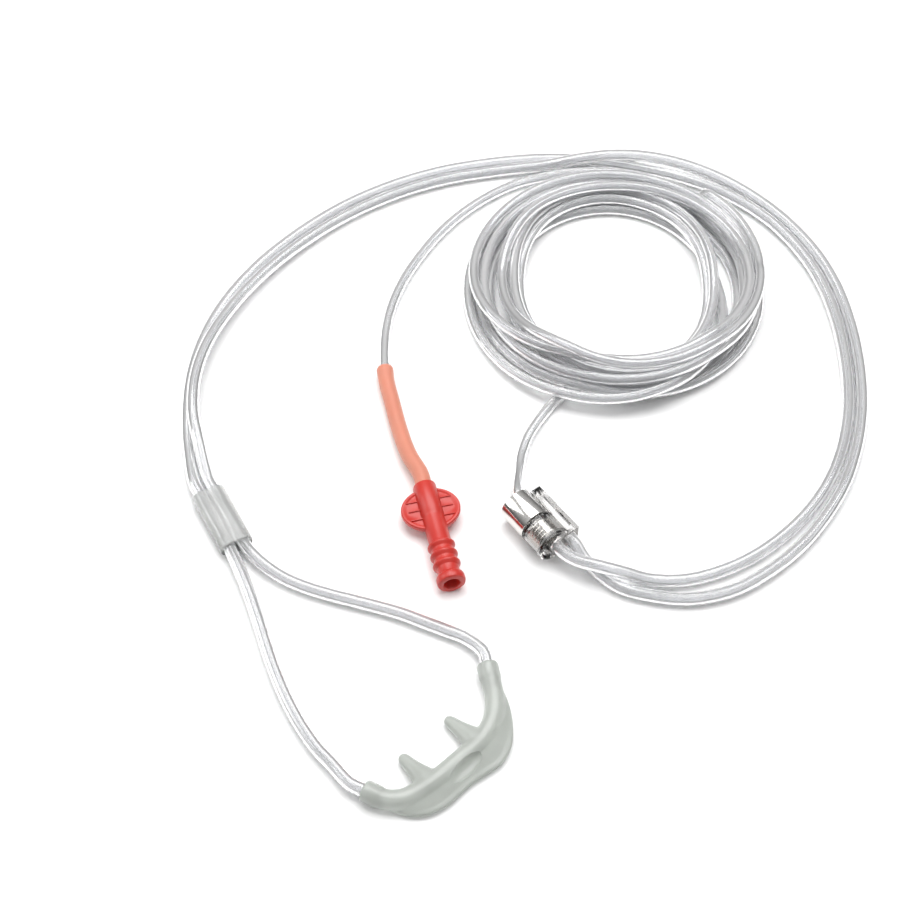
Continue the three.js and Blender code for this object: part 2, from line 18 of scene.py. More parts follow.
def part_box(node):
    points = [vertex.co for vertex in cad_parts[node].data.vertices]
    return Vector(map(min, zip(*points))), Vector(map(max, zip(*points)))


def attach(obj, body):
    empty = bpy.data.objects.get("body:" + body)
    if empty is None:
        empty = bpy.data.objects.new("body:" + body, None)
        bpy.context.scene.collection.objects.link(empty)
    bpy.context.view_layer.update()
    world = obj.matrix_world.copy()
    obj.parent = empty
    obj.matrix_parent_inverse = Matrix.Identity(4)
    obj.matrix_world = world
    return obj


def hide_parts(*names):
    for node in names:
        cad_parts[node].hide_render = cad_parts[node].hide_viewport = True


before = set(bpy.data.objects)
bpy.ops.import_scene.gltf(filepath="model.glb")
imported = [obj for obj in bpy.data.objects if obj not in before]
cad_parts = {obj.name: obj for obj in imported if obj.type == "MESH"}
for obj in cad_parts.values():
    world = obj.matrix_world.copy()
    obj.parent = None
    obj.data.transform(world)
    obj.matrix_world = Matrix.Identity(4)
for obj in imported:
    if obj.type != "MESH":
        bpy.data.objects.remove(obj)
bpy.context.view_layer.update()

log = logging.getLogger("cannula")

MM = 0.001
Row = Sequence[float]
Colour = tuple[float, float, float]

# Modelling tolerances, the distance in the unit that the piece is modelled in
MERGE_DISTANCE = 0.0005
SMOOTH_BELOW = math.radians(40)
BEVEL_ABOVE = math.radians(35)

# Facets round the turned solids
BAND_FACETS = 96
BODY_FACETS = 72
OVAL_FACETS = 48
SOCKET_FACETS = 32
BORE_FACETS = 24

# Numbers of the nodes' sockets that share a name with others
OBJECT_OUTPUT = 3
MIX_FACTOR = 0
MIX_FIRST = 6
MIX_SECOND = 7
MIX_RESULT = 2

# Tubes
LARIAT_OD = 3.3
LARIAT_BORE = 1.7
SAMPLE_OD = 2.8
SAMPLE_BORE = 1.2
RUNNING_GAP = 0.3
REST_GAP = 0.2
RING_STEP = 1.7
COIL_STEP = 2.4

# Nasal piece
ARM_OD = 4.7
COLLAR_OD = 5.2
COLLAR_LENGTH = 5.5
COLLAR_SOCKET_DEPTH = 4.0
COLLAR_STRAIGHT = 3.3
ARM_STEP = 0.6
ARM_FINE_STEP = 0.1
ARM_POINTS = [
    (-20.5, 8.0),
    (-18.6, 3.7),
    (-15.2, 0.8),
    (-9.0, -0.3),
    (0.0, 0.0),
    (7.5, 0.7),
    (12.9, 2.9),
    (16.7, 6.4),
    (19.3, 10.7),
    (21.7, 15.1),
]
BIB_EDGE = [
    (-18.6, 0.6),
    (-16.6, -2.6),
    (-13, -5.3),
    (-8.5, -6.4),
    (-3.9, -6.1),
    (-0.5, -5.8),
    (3.5, -6.1),
    (8.4, -6.2),
    (13, -4),
    (16.8, 0.2),
    (19.6, 5),
    (20.9, 9),
]
PRONG_SPACING = 15.0
PRONG_CENTRE = -0.5
PRONG_REACH = 10.0
PRONG_BORE = 1.3
PRONG_LEAN = math.radians(5)
PRONG_DROOP = math.radians(7)

# Slider and union
SLIDER_LENGTH = 18.4
SLIDER_TRAVEL = 4.0
SLIDER_BORE_WIDTH = 7.2
SLIDER_BORE_HEIGHT = 3.6
SLIDER_WALL = 0.65
UNION_OD = 9.3
UNION_LENGTH = 16.2
SLEEVE_LENGTH = 8.4
SAMPLE_SOCKET_ACROSS = 2.1
SAMPLE_SOCKET_UP = 0.7
SAMPLE_SOCKET_DEPTH = 5.0
LARIAT_SOCKET_ACROSS = 0.1
LARIAT_SOCKET_SPACING = 4.0
LARIAT_SOCKET_UP = 0.2
END_SOCKET_DEPTH = 1.0
SOCKET_GAP = 0.2
LARIAT_STRAIGHT = 2.5
SAMPLE_STRAIGHT = 1.5

# Strain relief sleeve and connector
STRAIN_OD = 4.2
STRAIN_STRAIGHT = 4.0
CONNECTOR_LENGTH = 30.0
CONNECTOR_SOCKET_DEPTH = 3.0

# Coil of the sampling line
COIL_AT = (44.1, 53.6)

PAIR_SPACING = LARIAT_OD + RUNNING_GAP

# Middle of the lariat pair, its lean about its own run, its spare room and its extra height
PAIR_ROWS = [
    (31.6, -36.2, 35, 0.2, 1),
    (35.8, -39.3, 80, 0.2, 0.2),
    (41.4, -41.9, 135, 0.2, 0),
    (48.2, -43.4, 172, 0.6, 0),
    (57.3, -43.8, 180, 1.9, 0),
    (67.3, -41.2, 180, 2.5, 0),
    (76.1, -36.2, 180, 1.9, 0),
    (84.3, -29.4, 180, 1.4, 0),
    (91.7, -20.8, 180, 0.6, 0),
    (97.8, -11, 180, 0.2, 0),
    (102.2, 0, 180, 0, 0),
    (104.8, 10.2, 180, 0, 0),
    (106.2, 20.6, 180, 0, 0),
    (106.6, 31.4, 180, 0, 0),
    (106, 43, 180, 0, 0),
    (104, 55.2, 180, 0, 0),
    (99.7, 67.8, 180, 0, 0),
    (91.8, 81, 180, 0, 0),
    (80.2, 92.2, 190, 0.2, 0),
    (68, 98.6, 215, 0.2, 0),
    (57.2, 101.6, 245, 0.2, 0),
    (47.4, 103, 275, 0.2, 0),
    (37.6, 103.5, 310, 0.2, 0),
    (27.4, 103.3, 345, 0.2, 0),
    (14.4, 102, 360, 0, 0),
    (-1.3, 98.5, 360, 0, 0),
    (-15, 93, 360, 0, 0),
    (-28.6, 84.8, 360, 0, 0),
    (-41, 74, 355, 0, 0),
    (-52.2, 60.8, 345, 0.2, 0),
    (-60.8, 45.9, 330, 0.2, 0),
    (-65.5, 32.4, 310, 0.2, 0),
    (-67.3, 20.6, 298, 0.2, 0),
    (-67, 9, 298, 0.2, 0),
    (-65.4, -0.4, 315, 0.2, 0),
]

# Places and heights above the resting height
LEFT_BRANCH = [
    (-50, -41, 0.3),
    (-47.3, -48, 0),
    (-44.9, -55, 0),
    (-42.6, -62, 0),
    (-40.2, -68.4, 0),
    (-37.4, -74.8, 0),
    (-34.1, -81, 0),
    (-30.4, -86.6, 0),
    (-26.4, -91.2, 0.2),
]
RIGHT_BRANCH = [
    (-46, -36.2, 0.4),
    (-40.4, -40.4, 0),
    (-34.8, -43.2, 0),
    (-29, -45.3, 0),
    (-23, -47.1, 0),
    (-17, -48.9, 0),
    (-11.4, -50.8, 0),
    (-6, -53.2, 0),
    (-1, -55.4, 0),
    (3.6, -57.6, 0.2),
]
UNION_END = [
    (17.6, -7.2, 0.6),
    (18.5, -1.6, 0),
    (20.4, 3.9, 0),
    (23.4, 9.2, 0),
    (27.15, 14.55, 0),
]
UNDER_COIL = [
    (32.5, 19.3, 0),
    (38.6, 21, 0),
]
CONNECTOR_END = [
    (43, 97.3, 2.6),
    (34, 98.1, 1.2),
    (27, 97.6, 0.2),
    (20.4, 95.7, 0),
    (13.8, 92, 0),
    (5.4, 85.2, 0),
    (-1.6, 77.2, 0),
    (-7.8, 67.6, 0),
    (-12.7, 57.6, 0),
    (-15.9, 47.6, 0),
    (-17.3, 37.8, 0),
]
STRAIN_ROUTE = [
    (-17.2, 25.3, 0),
    (-16.6, 20.6, 0),
    (-15.2, 14.4, 0),
    (-13, 4.8, 0.1),
    (-10.4, -4, 0.8),
]


class Body(Enum):
    """The moving bodies that pieces ride on."""

    CANNULA = "cannula"
    SLIDER = "slider"


class Side(Enum):
    """The two lariat tubes, by the side of the layout that they leave the slider on."""

    LEFT = 1
    RIGHT = -1


@dataclass(frozen=True)
class Seat:
    """Where a hard piece lies: millimetres in the layout, turned about +Z in degrees."""

    x: float
    y: float
    z: float
    turn: float

    def place(self, along: float, across: float, up: float = 0.0) -> Vector:
        """A place in the piece's own axes, as a layout point.

        Args:
            along: Distance along the piece.
            across: Distance across it, to its left.
            up: Height above its axis.

        Returns:
            The point in layout millimetres.
        """
        return self.matrix() @ Vector((along, across, up))

    def matrix(self) -> Matrix:
        """The turn and the move from the piece's own axes to the layout."""
        turned = Matrix.Rotation(math.radians(self.turn), 4, "Z")
        return Matrix.Translation((self.x, self.y, self.z)) @ turned


NASAL_SEAT = Seat(1.6, -90.7, COLLAR_OD / 2, 39.7)
SLIDER_SEAT = Seat(-56.4, -23.6, SLIDER_BORE_HEIGHT / 2 + SLIDER_WALL, -62.4)
UNION_SEAT = Seat(16.2, -20.1, UNION_OD / 2, -53.3)
CONNECTOR_SEAT = Seat(-6.5, -14.2, 3.55, -76.5)


def layout_origin() -> Vector:
    """Finds the layout's origin in the frame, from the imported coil.

    Returns:
        The layout's origin in metres.
    """
    low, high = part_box("sample_line_coil")
    return Vector(
        (
            (low[0] + high[0]) / 2 - COIL_AT[0] * MM,
            (low[1] + high[1]) / 2 - COIL_AT[1] * MM,
            0.0,
        )
    )


ORIGIN = layout_origin()


def to_frame(point: Iterable[float]) -> Vector:
    """Turns a layout point in millimetres into a frame point in metres."""
    return ORIGIN + Vector(point) * MM


def smooth(points: Sequence[Vector], step: float) -> list[Vector]:
    """Runs one smooth curve through given points.

    Args:
        points: The points, in order.
        step: The spacing to read the curve at.

    Returns:
        Points along the centripetal curve, both ends included.
    """
    ends = [2 * points[0] - points[1], *points, 2 * points[-1] - points[-2]]
    read = [points[0].copy()]
    for before, start, end, after in zip(ends, ends[1:], ends[2:], ends[3:]):
        gaps = [(b - a).length ** 0.5 for a, b in ((before, start), (start, end), (end, after))]
        into = (start - before) / gaps[0] - (end - before) / (gaps[0] + gaps[1])
        into = (into + (end - start) / gaps[1]) * gaps[1]
        out = (end - start) / gaps[1] - (after - start) / (gaps[1] + gaps[2])
        out = (out + (after - end) / gaps[2]) * gaps[1]
        count = max(1, math.ceil((end - start).length / step))
        for index in range(1, count + 1):
            t = index / count
            read.append(
                start * (2 * t**3 - 3 * t**2 + 1)
                + into * (t**3 - 2 * t**2 + t)
                + end * (3 * t**2 - 2 * t**3)
                + out * (t**3 - t**2)
            )
    return read


def length_of(path: Sequence[Vector]) -> float:
    """The length of a line through points."""
    return sum((b - a).length for a, b in zip(path, path[1:]))


def resting(rows: Sequence[Row], diameter: float) -> list[Vector]:
    """Lifts route rows onto the table.

    Args:
        rows: Places and heights above the resting height.
        diameter: The tube's diameter.

    Returns:
        The tube's centreline points.
    """
    return [Vector((x, y, diameter / 2 + REST_GAP + lift)) for x, y, lift in rows]


class Value:
    """A number that varies over a surface, held as a node's output socket."""

    def __init__(self, shade: "Shade", socket: bpy.types.NodeSocket) -> None:
        """Wraps a socket of a material under construction."""
        self.shade = shade
        self.socket = socket

    def _maths(self, operation: str, first: "Value | float", second: "Value | float") -> "Value":
        """Adds one Math node.

        Args:
            operation: The node's operation.
            first: Its first value.
            second: Its second value.

        Returns:
            The node's result.
        """
        settings = {"operation": operation}
        return self.shade.node("ShaderNodeMath", settings, {0: first, 1: second})

    def __add__(self, other: "Value | float") -> "Value":
        """Adds a value."""
        return self._maths("ADD", self, other)

    def __mul__(self, other: "Value | float") -> "Value":
        """Multiplies by a value."""
        return self._maths("MULTIPLY", self, other)


class Shade:
    """One material under construction."""

    def __init__(self, name: str) -> None:
        """Starts a material with its surface shader.

        Args:
            name: The material's name.
        """
        self.material = bpy.data.materials.new(name)
        self.material.use_nodes = True
        self.tree = self.material.node_tree
        self.shader = self.tree.nodes["Principled BSDF"]

    def node(self, kind: str, settings: dict, inputs: dict, output: int = 0) -> Value:
        """Adds a node.

        Args:
            kind: The node's type.
            settings: Its own settings.
            inputs: Values or links for its sockets, by name or number.
            output: The number of the output wanted.

        Returns:
            That output.
        """
        made = self.tree.nodes.new(kind)
        for name, value in settings.items():
            setattr(made, name, value)
        for name, value in inputs.items():
            self.feed(made.inputs[name], value)
        return Value(self, made.outputs[output])

    def feed(self, socket: bpy.types.NodeSocket, value: "Value | float | Sequence[float]") -> None:
        """Sets or links a socket."""
        if isinstance(value, Value):
            self.tree.links.new(value.socket, socket)
        else:
            socket.default_value = value

    def set(self, **values: "Value | float | Sequence[float]") -> None:
        """Sets or links the surface shader's sockets, their names written with underscores."""
        for name, value in values.items():
            self.feed(self.shader.inputs[name.replace("_", " ")], value)

    def place(self, scale: Row = (1, 1, 1), turn: Row = (0, 0, 0)) -> Value:
        """Object coordinates, turned and scaled.

        Args:
            scale: The pattern's scale along each axis.
            turn: The pattern's turn about each axis, in radians.

        Returns:
            The coordinates.
        """
        spot = self.node("ShaderNodeTexCoord", {}, {}, OBJECT_OUTPUT)
        inputs = {"Vector": spot, "Scale": scale, "Rotation": turn}
        return self.node("ShaderNodeMapping", {"vector_type": "TEXTURE"}, inputs)

    def along(self, scale: Row) -> Value:
        """The piece's own UV map, scaled: u along it in metres, v round it."""
        spot = self.node("ShaderNodeUVMap", {"uv_map": "run"}, {})
        return self.node("ShaderNodeMapping", {}, {"Vector": spot, "Scale": scale})

    def noise(self, spot: Value, scale: float, detail: float = 3.0) -> Value:
        """Soft noise at a scale, from 0 to 1."""
        inputs = {"Vector": spot, "Scale": scale, "Detail": detail}
        return self.node("ShaderNodeTexNoise", {}, inputs)

    def mixed(self, factor: Value, first: Colour, second: Colour) -> Value:
        """Blends two colours.

        Args:
            factor: The share of the second colour.
            first: The colour at 0.
            second: The colour at 1.

        Returns:
            The blended colour.
        """
        inputs = {MIX_FACTOR: factor, MIX_FIRST: (*first, 1.0), MIX_SECOND: (*second, 1.0)}
        return self.node("ShaderNodeMix", {"data_type": "RGBA"}, inputs, MIX_RESULT)

    def bump(self, height: Value, distance: float, strength: float = 1.0) -> None:
        """Feeds a relief to the shader.

        Args:
            height: The relief's height, from 0 to 1.
            distance: The height of 1, in metres.
            strength: How much of it shows.
        """
        inputs = {"Height": height, "Distance": distance, "Strength": strength}
        self.set(Normal=self.node("ShaderNodeBump", {}, inputs))


@dataclass(frozen=True)
class Pattern:
    """Noise over the piece's own coordinates, or along the run of a tube."""

    scale: float = 1.0
    detail: float = 3.0
    stretch: tuple[float, ...] = (1.0, 1.0, 1.0)
    turn: float = 0.0
    on_run: bool = False

    def on(self, shade: Shade) -> Value:
        """Adds the pattern to a material.

        Args:
            shade: The material.

        Returns:
            The noise, from 0 to 1.
        """
        if self.on_run:
            spot = shade.along(self.stretch)
        else:
            spot = shade.place(self.stretch, (0, 0, math.radians(self.turn)))
        return shade.noise(spot, self.scale, self.detail)


@dataclass(frozen=True)
class Finish:
    """A finish: two colours blended in clouds, with an uneven gloss and a fine relief."""

    name: str
    pale: Colour
    deep: Colour
    clouds: Pattern
    grain: Pattern
    roughness: float
    unevenness: float = 0.12
    gloss_follows_clouds: bool = False
    relief: float = 0.0
    relief_share: float = 0.5
    metallic: float = 0.0
    transmission: float = 0.0
    ior: float = 1.5
    coat: float = 0.0
    coat_roughness: float = 0.03
    bleed: float = 0.0
    bleed_reach: Colour = (0.001, 0.0002, 0.0002)
    sheen: float = 0.0
    specular: float = 0.5

    def material(self) -> bpy.types.Material:
        """Builds the material."""
        shade = Shade(self.name)
        clouds = self.clouds.on(shade)
        grain = self.grain.on(shade)
        uneven = clouds if self.gloss_follows_clouds else grain
        shade.set(
            Base_Color=shade.mixed(clouds, self.pale, self.deep),
            Roughness=uneven * self.unevenness + self.roughness,
            Metallic=self.metallic,
            Transmission_Weight=self.transmission,
            IOR=self.ior,
            Coat_Weight=self.coat,
            Coat_Roughness=self.coat_roughness,
            Subsurface_Weight=self.bleed,
            Subsurface_Radius=self.bleed_reach,
            Subsurface_Scale=1.0,
            Sheen_Weight=self.sheen,
            Specular_IOR_Level=self.specular,
        )
        if self.relief:
            shade.bump(grain, self.relief, self.relief_share)
        return shade.material


@dataclass(frozen=True)
class ClearTubing(Finish):
    """Clear vinyl tubing: a faint grey haze, with fine draw lines along the run."""

    name: str = "clear_tubing"
    pale: Colour = (0.86, 0.865, 0.875)
    deep: Colour = (0.77, 0.775, 0.79)
    clouds: Pattern = Pattern(stretch=(60.0, 1.0, 1.0), on_run=True)
    grain: Pattern = Pattern(detail=2.0, stretch=(8.0, 9.0, 1.0), on_run=True)
    roughness: float = 0.04
    unevenness: float = 0.08
    relief: float = 0.00001
    relief_share: float = 0.4
    transmission: float = 0.8
    ior: float = 1.48


@dataclass(frozen=True)
class FrostedVinyl(Finish):
    """Soft frosted vinyl: cloudy, greenish grey, with a fine matt grain."""

    name: str = "frosted_vinyl"
    pale: Colour = (0.74, 0.77, 0.73)
    deep: Colour = (0.62, 0.65, 0.61)
    clouds: Pattern = Pattern(160.0)
    grain: Pattern = Pattern(5200.0, 2.0)
    roughness: float = 0.28
    gloss_follows_clouds: bool = True
    relief: float = 0.00002
    relief_share: float = 0.6
    transmission: float = 0.55
    ior: float = 1.42
    coat: float = 0.25
    coat_roughness: float = 0.2


@dataclass(frozen=True)
class SliderVinyl(FrostedVinyl):
    """The slider's vinyl: clearer, smoother and a more neutral grey."""

    name: str = "slider_vinyl"
    pale: Colour = (0.84, 0.85, 0.84)
    deep: Colour = (0.75, 0.76, 0.75)
    roughness: float = 0.18
    transmission: float = 0.78


@dataclass(frozen=True)
class ClearHousing(Finish):
    """Clear moulded plastic with a brownish grey cast and faint flow marks."""

    name: str = "clear_housing"
    pale: Colour = (0.86, 0.85, 0.84)
    deep: Colour = (0.76, 0.745, 0.73)
    clouds: Pattern = Pattern(420.0, 2.0, (1.0, 1.0, 0.4))
    grain: Pattern = Pattern(420.0, 2.0, (1.0, 1.0, 0.4))
    roughness: float = 0.04
    unevenness: float = 0.06
    relief: float = 0.00001
    relief_share: float = 0.4
    transmission: float = 1.0
    ior: float = 1.52


@dataclass(frozen=True)
class BrightMetal(Finish):
    """Bright metallised plastic with fine turning marks and a warm cast."""

    name: str = "bright_band"
    pale: Colour = (0.86, 0.85, 0.83)
    deep: Colour = (0.68, 0.66, 0.63)
    clouds: Pattern = Pattern(1500.0)
    grain: Pattern = Pattern(90.0, 4.0, (0.05, 1.0, 1.0), UNION_SEAT.turn)
    roughness: float = 0.07
    relief: float = 0.00002
    relief_share: float = 0.35
    metallic: float = 1.0


@dataclass(frozen=True)
class SalmonSilicone(Finish):
    """Salmon coloured soft sleeve: matt, slightly see-through, with faint draw lines."""

    name: str = "salmon_silicone"
    pale: Colour = (0.70, 0.27, 0.18)
    deep: Colour = (0.60, 0.205, 0.135)
    clouds: Pattern = Pattern(stretch=(90.0, 2.0, 1.0), on_run=True)
    grain: Pattern = Pattern(stretch=(900.0, 14.0, 1.0), on_run=True)
    roughness: float = 0.42
    unevenness: float = 0.14
    relief: float = 0.00004
    bleed: float = 0.35
    bleed_reach: Colour = (0.002, 0.0009, 0.0006)
    sheen: float = 0.15


@dataclass(frozen=True)
class RedMoulding(Finish):
    """Red moulded plastic: a satin skin, a little uneven in colour, with a fine grain."""

    name: str = "red_moulding"
    pale: Colour = (0.60, 0.04, 0.026)
    deep: Colour = (0.48, 0.02, 0.014)
    clouds: Pattern = Pattern(210.0)
    grain: Pattern = Pattern(4200.0, 2.0)
    roughness: float = 0.32
    relief: float = 0.00003
    bleed: float = 0.1
    coat: float = 0.15
    coat_roughness: float = 0.3


@dataclass(frozen=True)
class PaleFloor(Finish):
    """Plain pale studio floor with the faintest unevenness."""

    name: str = "pale_floor"
    pale: Colour = (0.97, 0.97, 0.97)
    deep: Colour = (0.95, 0.95, 0.95)
    clouds: Pattern = Pattern(3.0)
    grain: Pattern = Pattern()
    roughness: float = 0.9
    unevenness: float = 0.0
    specular: float = 0.1


def finish_piece(
    piece: bpy.types.Object,
    body: Body,
    slot: str,
    material: bpy.types.Material,
    *nodes: str,
) -> bpy.types.Object:
    """Dresses a piece, ties it to its body and hides the CAD nodes that it stands for.

    Args:
        piece: The piece, in place.
        body: The body that it rides on.
        slot: The record's material slot, which is not used.
        material: Its finish.
        nodes: The CAD nodes that it stands for.

    Returns:
        The piece.
    """
    piece.data.materials.clear()
    piece.data.materials.append(material)
    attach(piece, body.value)
    if nodes:
        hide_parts(*nodes)
    log.info("%s: %d faces on %s", piece.name, len(piece.data.polygons), body.value)
    return piece


def tube(
    name: str,
    path: Sequence[Vector],
    outer: Callable[[float], float],
    bore: float,
    sides: int = 24,
) -> bpy.types.Object:
    """Makes a hollow tube along a path, with flat ring ends.

    Args:
        name: The piece's name.
        path: The centreline in frame metres.
        outer: The outer radius in metres, by the share of the length.
        bore: The bore's radius in metres.
        sides: The facets round it.

    Returns:
        The tube's object, with a UV map named run.
    """
    line = np.array([tuple(point) for point in path])
    ways = np.gradient(line, axis=0)
    ways /= np.linalg.norm(ways, axis=1)[:, None]
    run = np.concatenate([[0.0], np.cumsum(np.linalg.norm(np.diff(line, axis=0), axis=1))])
    up = np.array([0.0, 0.0, 1.0])
    rights = np.cross(ways, up)
    rights /= np.linalg.norm(rights, axis=1)[:, None]
    ups = np.cross(rights, ways)
    angles = 2 * np.pi * np.arange(sides) / sides
    circle = np.cos(angles)[None, :, None] * rights[:, None, :]
    circle = circle + np.sin(angles)[None, :, None] * ups[:, None, :]
    widths = np.array([outer(share) for share in run / run[-1]])
    skins = [line[:, None, :] + width * circle for width in (widths[:, None, None], bore)]
    points = np.concatenate([skin.reshape(-1, 3) for skin in skins])
    count = len(line)
    ring = np.arange(sides)
    following = (ring + 1) % sides
    starts = (np.arange(count - 1) * sides)[:, None]
    inner = count * sides
    wall = [starts + ring, starts + following, starts + sides + following, starts + sides + ring]
    faces = [np.stack(wall, axis=2).reshape(-1, 4)]
    faces.append(faces[0][:, ::-1] + inner)
    last = (count - 1) * sides
    faces.append(np.stack([following, ring, inner + ring, inner + following], axis=1))
    faces.append(
        np.stack([last + ring, last + following, inner + last + following, inner + last + ring], 1)
    )
    quads = np.concatenate(faces)
    mesh = bpy.data.meshes.new(name)
    mesh.from_pydata(points.tolist(), [], quads.tolist())
    layer = mesh.uv_layers.new(name="run")
    share = np.tile(np.repeat(run, sides), 2)[quads]
    turn = np.tile(np.tile(ring / sides, count), 2)[quads]
    seam = (turn.max(axis=1) - turn.min(axis=1) > 0.5)[:, None]
    turn = np.where(seam & (turn < 0.5), turn + 1, turn)
    layer.data.foreach_set("uv", np.stack([share, turn], axis=2).ravel())
    mesh.polygons.foreach_set("use_smooth", [True] * len(quads))
    mesh.update()
    piece = bpy.data.objects.new(name, mesh)
    bpy.context.scene.collection.objects.link(piece)
    return piece


def deselect() -> None:
    """Leaves nothing selected, in object mode."""
    active = bpy.context.view_layer.objects.active
    if active is not None and active.mode != "OBJECT":
        bpy.ops.object.mode_set(mode="OBJECT")
    bpy.ops.object.select_all(action="DESELECT")


def take(piece: bpy.types.Object) -> None:
    """Selects one piece alone and makes it active."""
    deselect()
    piece.select_set(True)
    bpy.context.view_layer.objects.active = piece


def rest_transform(piece: bpy.types.Object, matrix: Matrix = Matrix.Identity(4)) -> None:
    """Moves a piece's place into its mesh.

    Args:
        piece: The piece.
        matrix: A further transform on top of its own.
    """
    bpy.context.view_layer.update()
    piece.data.transform(matrix @ piece.matrix_world)
    piece.matrix_world = Matrix.Identity(4)


def turned(name: str, profile: Sequence[Row], sides: int = 64) -> bpy.types.Object:
    """Turns a solid about the X axis: a circle is extruded and scaled ring by ring.

    Args:
        name: The piece's name.
        profile: Corners as distance along X and radius. A last corner like the first closes
            a ring; otherwise both ends are filled.
        sides: The facets round it.

    Returns:
        The solid.
    """
    deselect()
    start, radius = profile[0]
    bpy.ops.mesh.primitive_circle_add(vertices=sides, radius=radius, location=(0, 0, start))
    piece = bpy.context.active_object
    piece.name = name
    bpy.ops.object.mode_set(mode="EDIT")
    bpy.ops.mesh.select_all(action="SELECT")
    for along, wide in profile[1:]:
        bpy.ops.mesh.extrude_region_move(TRANSFORM_OT_translate={"value": (0, 0, along - start)})
        share = wide / radius
        bpy.ops.transform.resize(value=(share, share, 1), center_override=(0, 0, along))
        start, radius = along, wide
    close_up()
    rest_transform(piece, Matrix.Rotation(math.pi / 2, 4, "Y"))
    return piece


def close_up() -> None:
    """Merges doubles, fills open ends, turns the faces outwards and leaves edit mode."""
    bpy.ops.mesh.select_all(action="SELECT")
    bpy.ops.mesh.remove_doubles(threshold=MERGE_DISTANCE)
    bpy.ops.mesh.fill_holes(sides=0)
    bpy.ops.mesh.select_all(action="SELECT")
    bpy.ops.mesh.normals_make_consistent(inside=False)
    bpy.ops.object.mode_set(mode="OBJECT")


def block(name: str, low: Row, high: Row) -> bpy.types.Object:
    """Adds a box between two corners."""
    deselect()
    middle = [(a + b) / 2 for a, b in zip(low, high)]
    size = [b - a for a, b in zip(low, high)]
    bpy.ops.mesh.primitive_cube_add(size=1, location=middle, scale=size)
    piece = bpy.context.active_object
    piece.name = name
    rest_transform(piece)
    return piece


def change(piece: bpy.types.Object, kind: str, **settings: object) -> None:
    """Applies one modifier to a piece.

    Args:
        piece: The piece.
        kind: The modifier's type.
        settings: Its settings.
    """
    take(piece)
    modifier = piece.modifiers.new(kind.title(), kind)
    for name, value in settings.items():
        setattr(modifier, name, value)
    bpy.ops.object.modifier_apply(modifier=modifier.name)


def cut(piece: bpy.types.Object, *tools: bpy.types.Object) -> bpy.types.Object:
    """Cuts tools out of a piece and removes them."""
    return combine(piece, "DIFFERENCE", tools)


def fuse(piece: bpy.types.Object, *others: bpy.types.Object) -> bpy.types.Object:
    """Joins others to a piece as one solid."""
    return combine(piece, "UNION", others)


def combine(
    piece: bpy.types.Object, operation: str, others: Sequence[bpy.types.Object]
) -> bpy.types.Object:
    """Combines solids with a piece.

    Args:
        piece: The piece that stays.
        operation: The boolean operation.
        others: The solids, which are removed.

    Returns:
        The piece.
    """
    for other in others:
        change(piece, "BOOLEAN", operation=operation, object=other, solver="EXACT")
        bpy.data.objects.remove(other, do_unlink=True)
    return piece


def ease(piece: bpy.types.Object, width: float, segments: int = 2) -> None:
    """Rounds a piece's sharp edges and smooths its round faces.

    Args:
        piece: The piece.
        width: The rounding's width.
        segments: Its facets.
    """
    change(
        piece,
        "BEVEL",
        width=width,
        segments=segments,
        limit_method="ANGLE",
        angle_limit=BEVEL_ABOVE,
        harden_normals=False,
    )
    soften(piece)


def soften(piece: bpy.types.Object) -> None:
    """Smooths the shading across all but a piece's sharp edges."""
    take(piece)
    bpy.ops.object.shade_smooth_by_angle(angle=SMOOTH_BELOW)


def seat(piece: bpy.types.Object, where: Seat) -> bpy.types.Object:
    """Takes a piece from its own millimetres to its place in the frame."""
    place = Matrix.Translation(ORIGIN) @ Matrix.Scale(MM, 4) @ where.matrix()
    rest_transform(piece, place)
    return piece


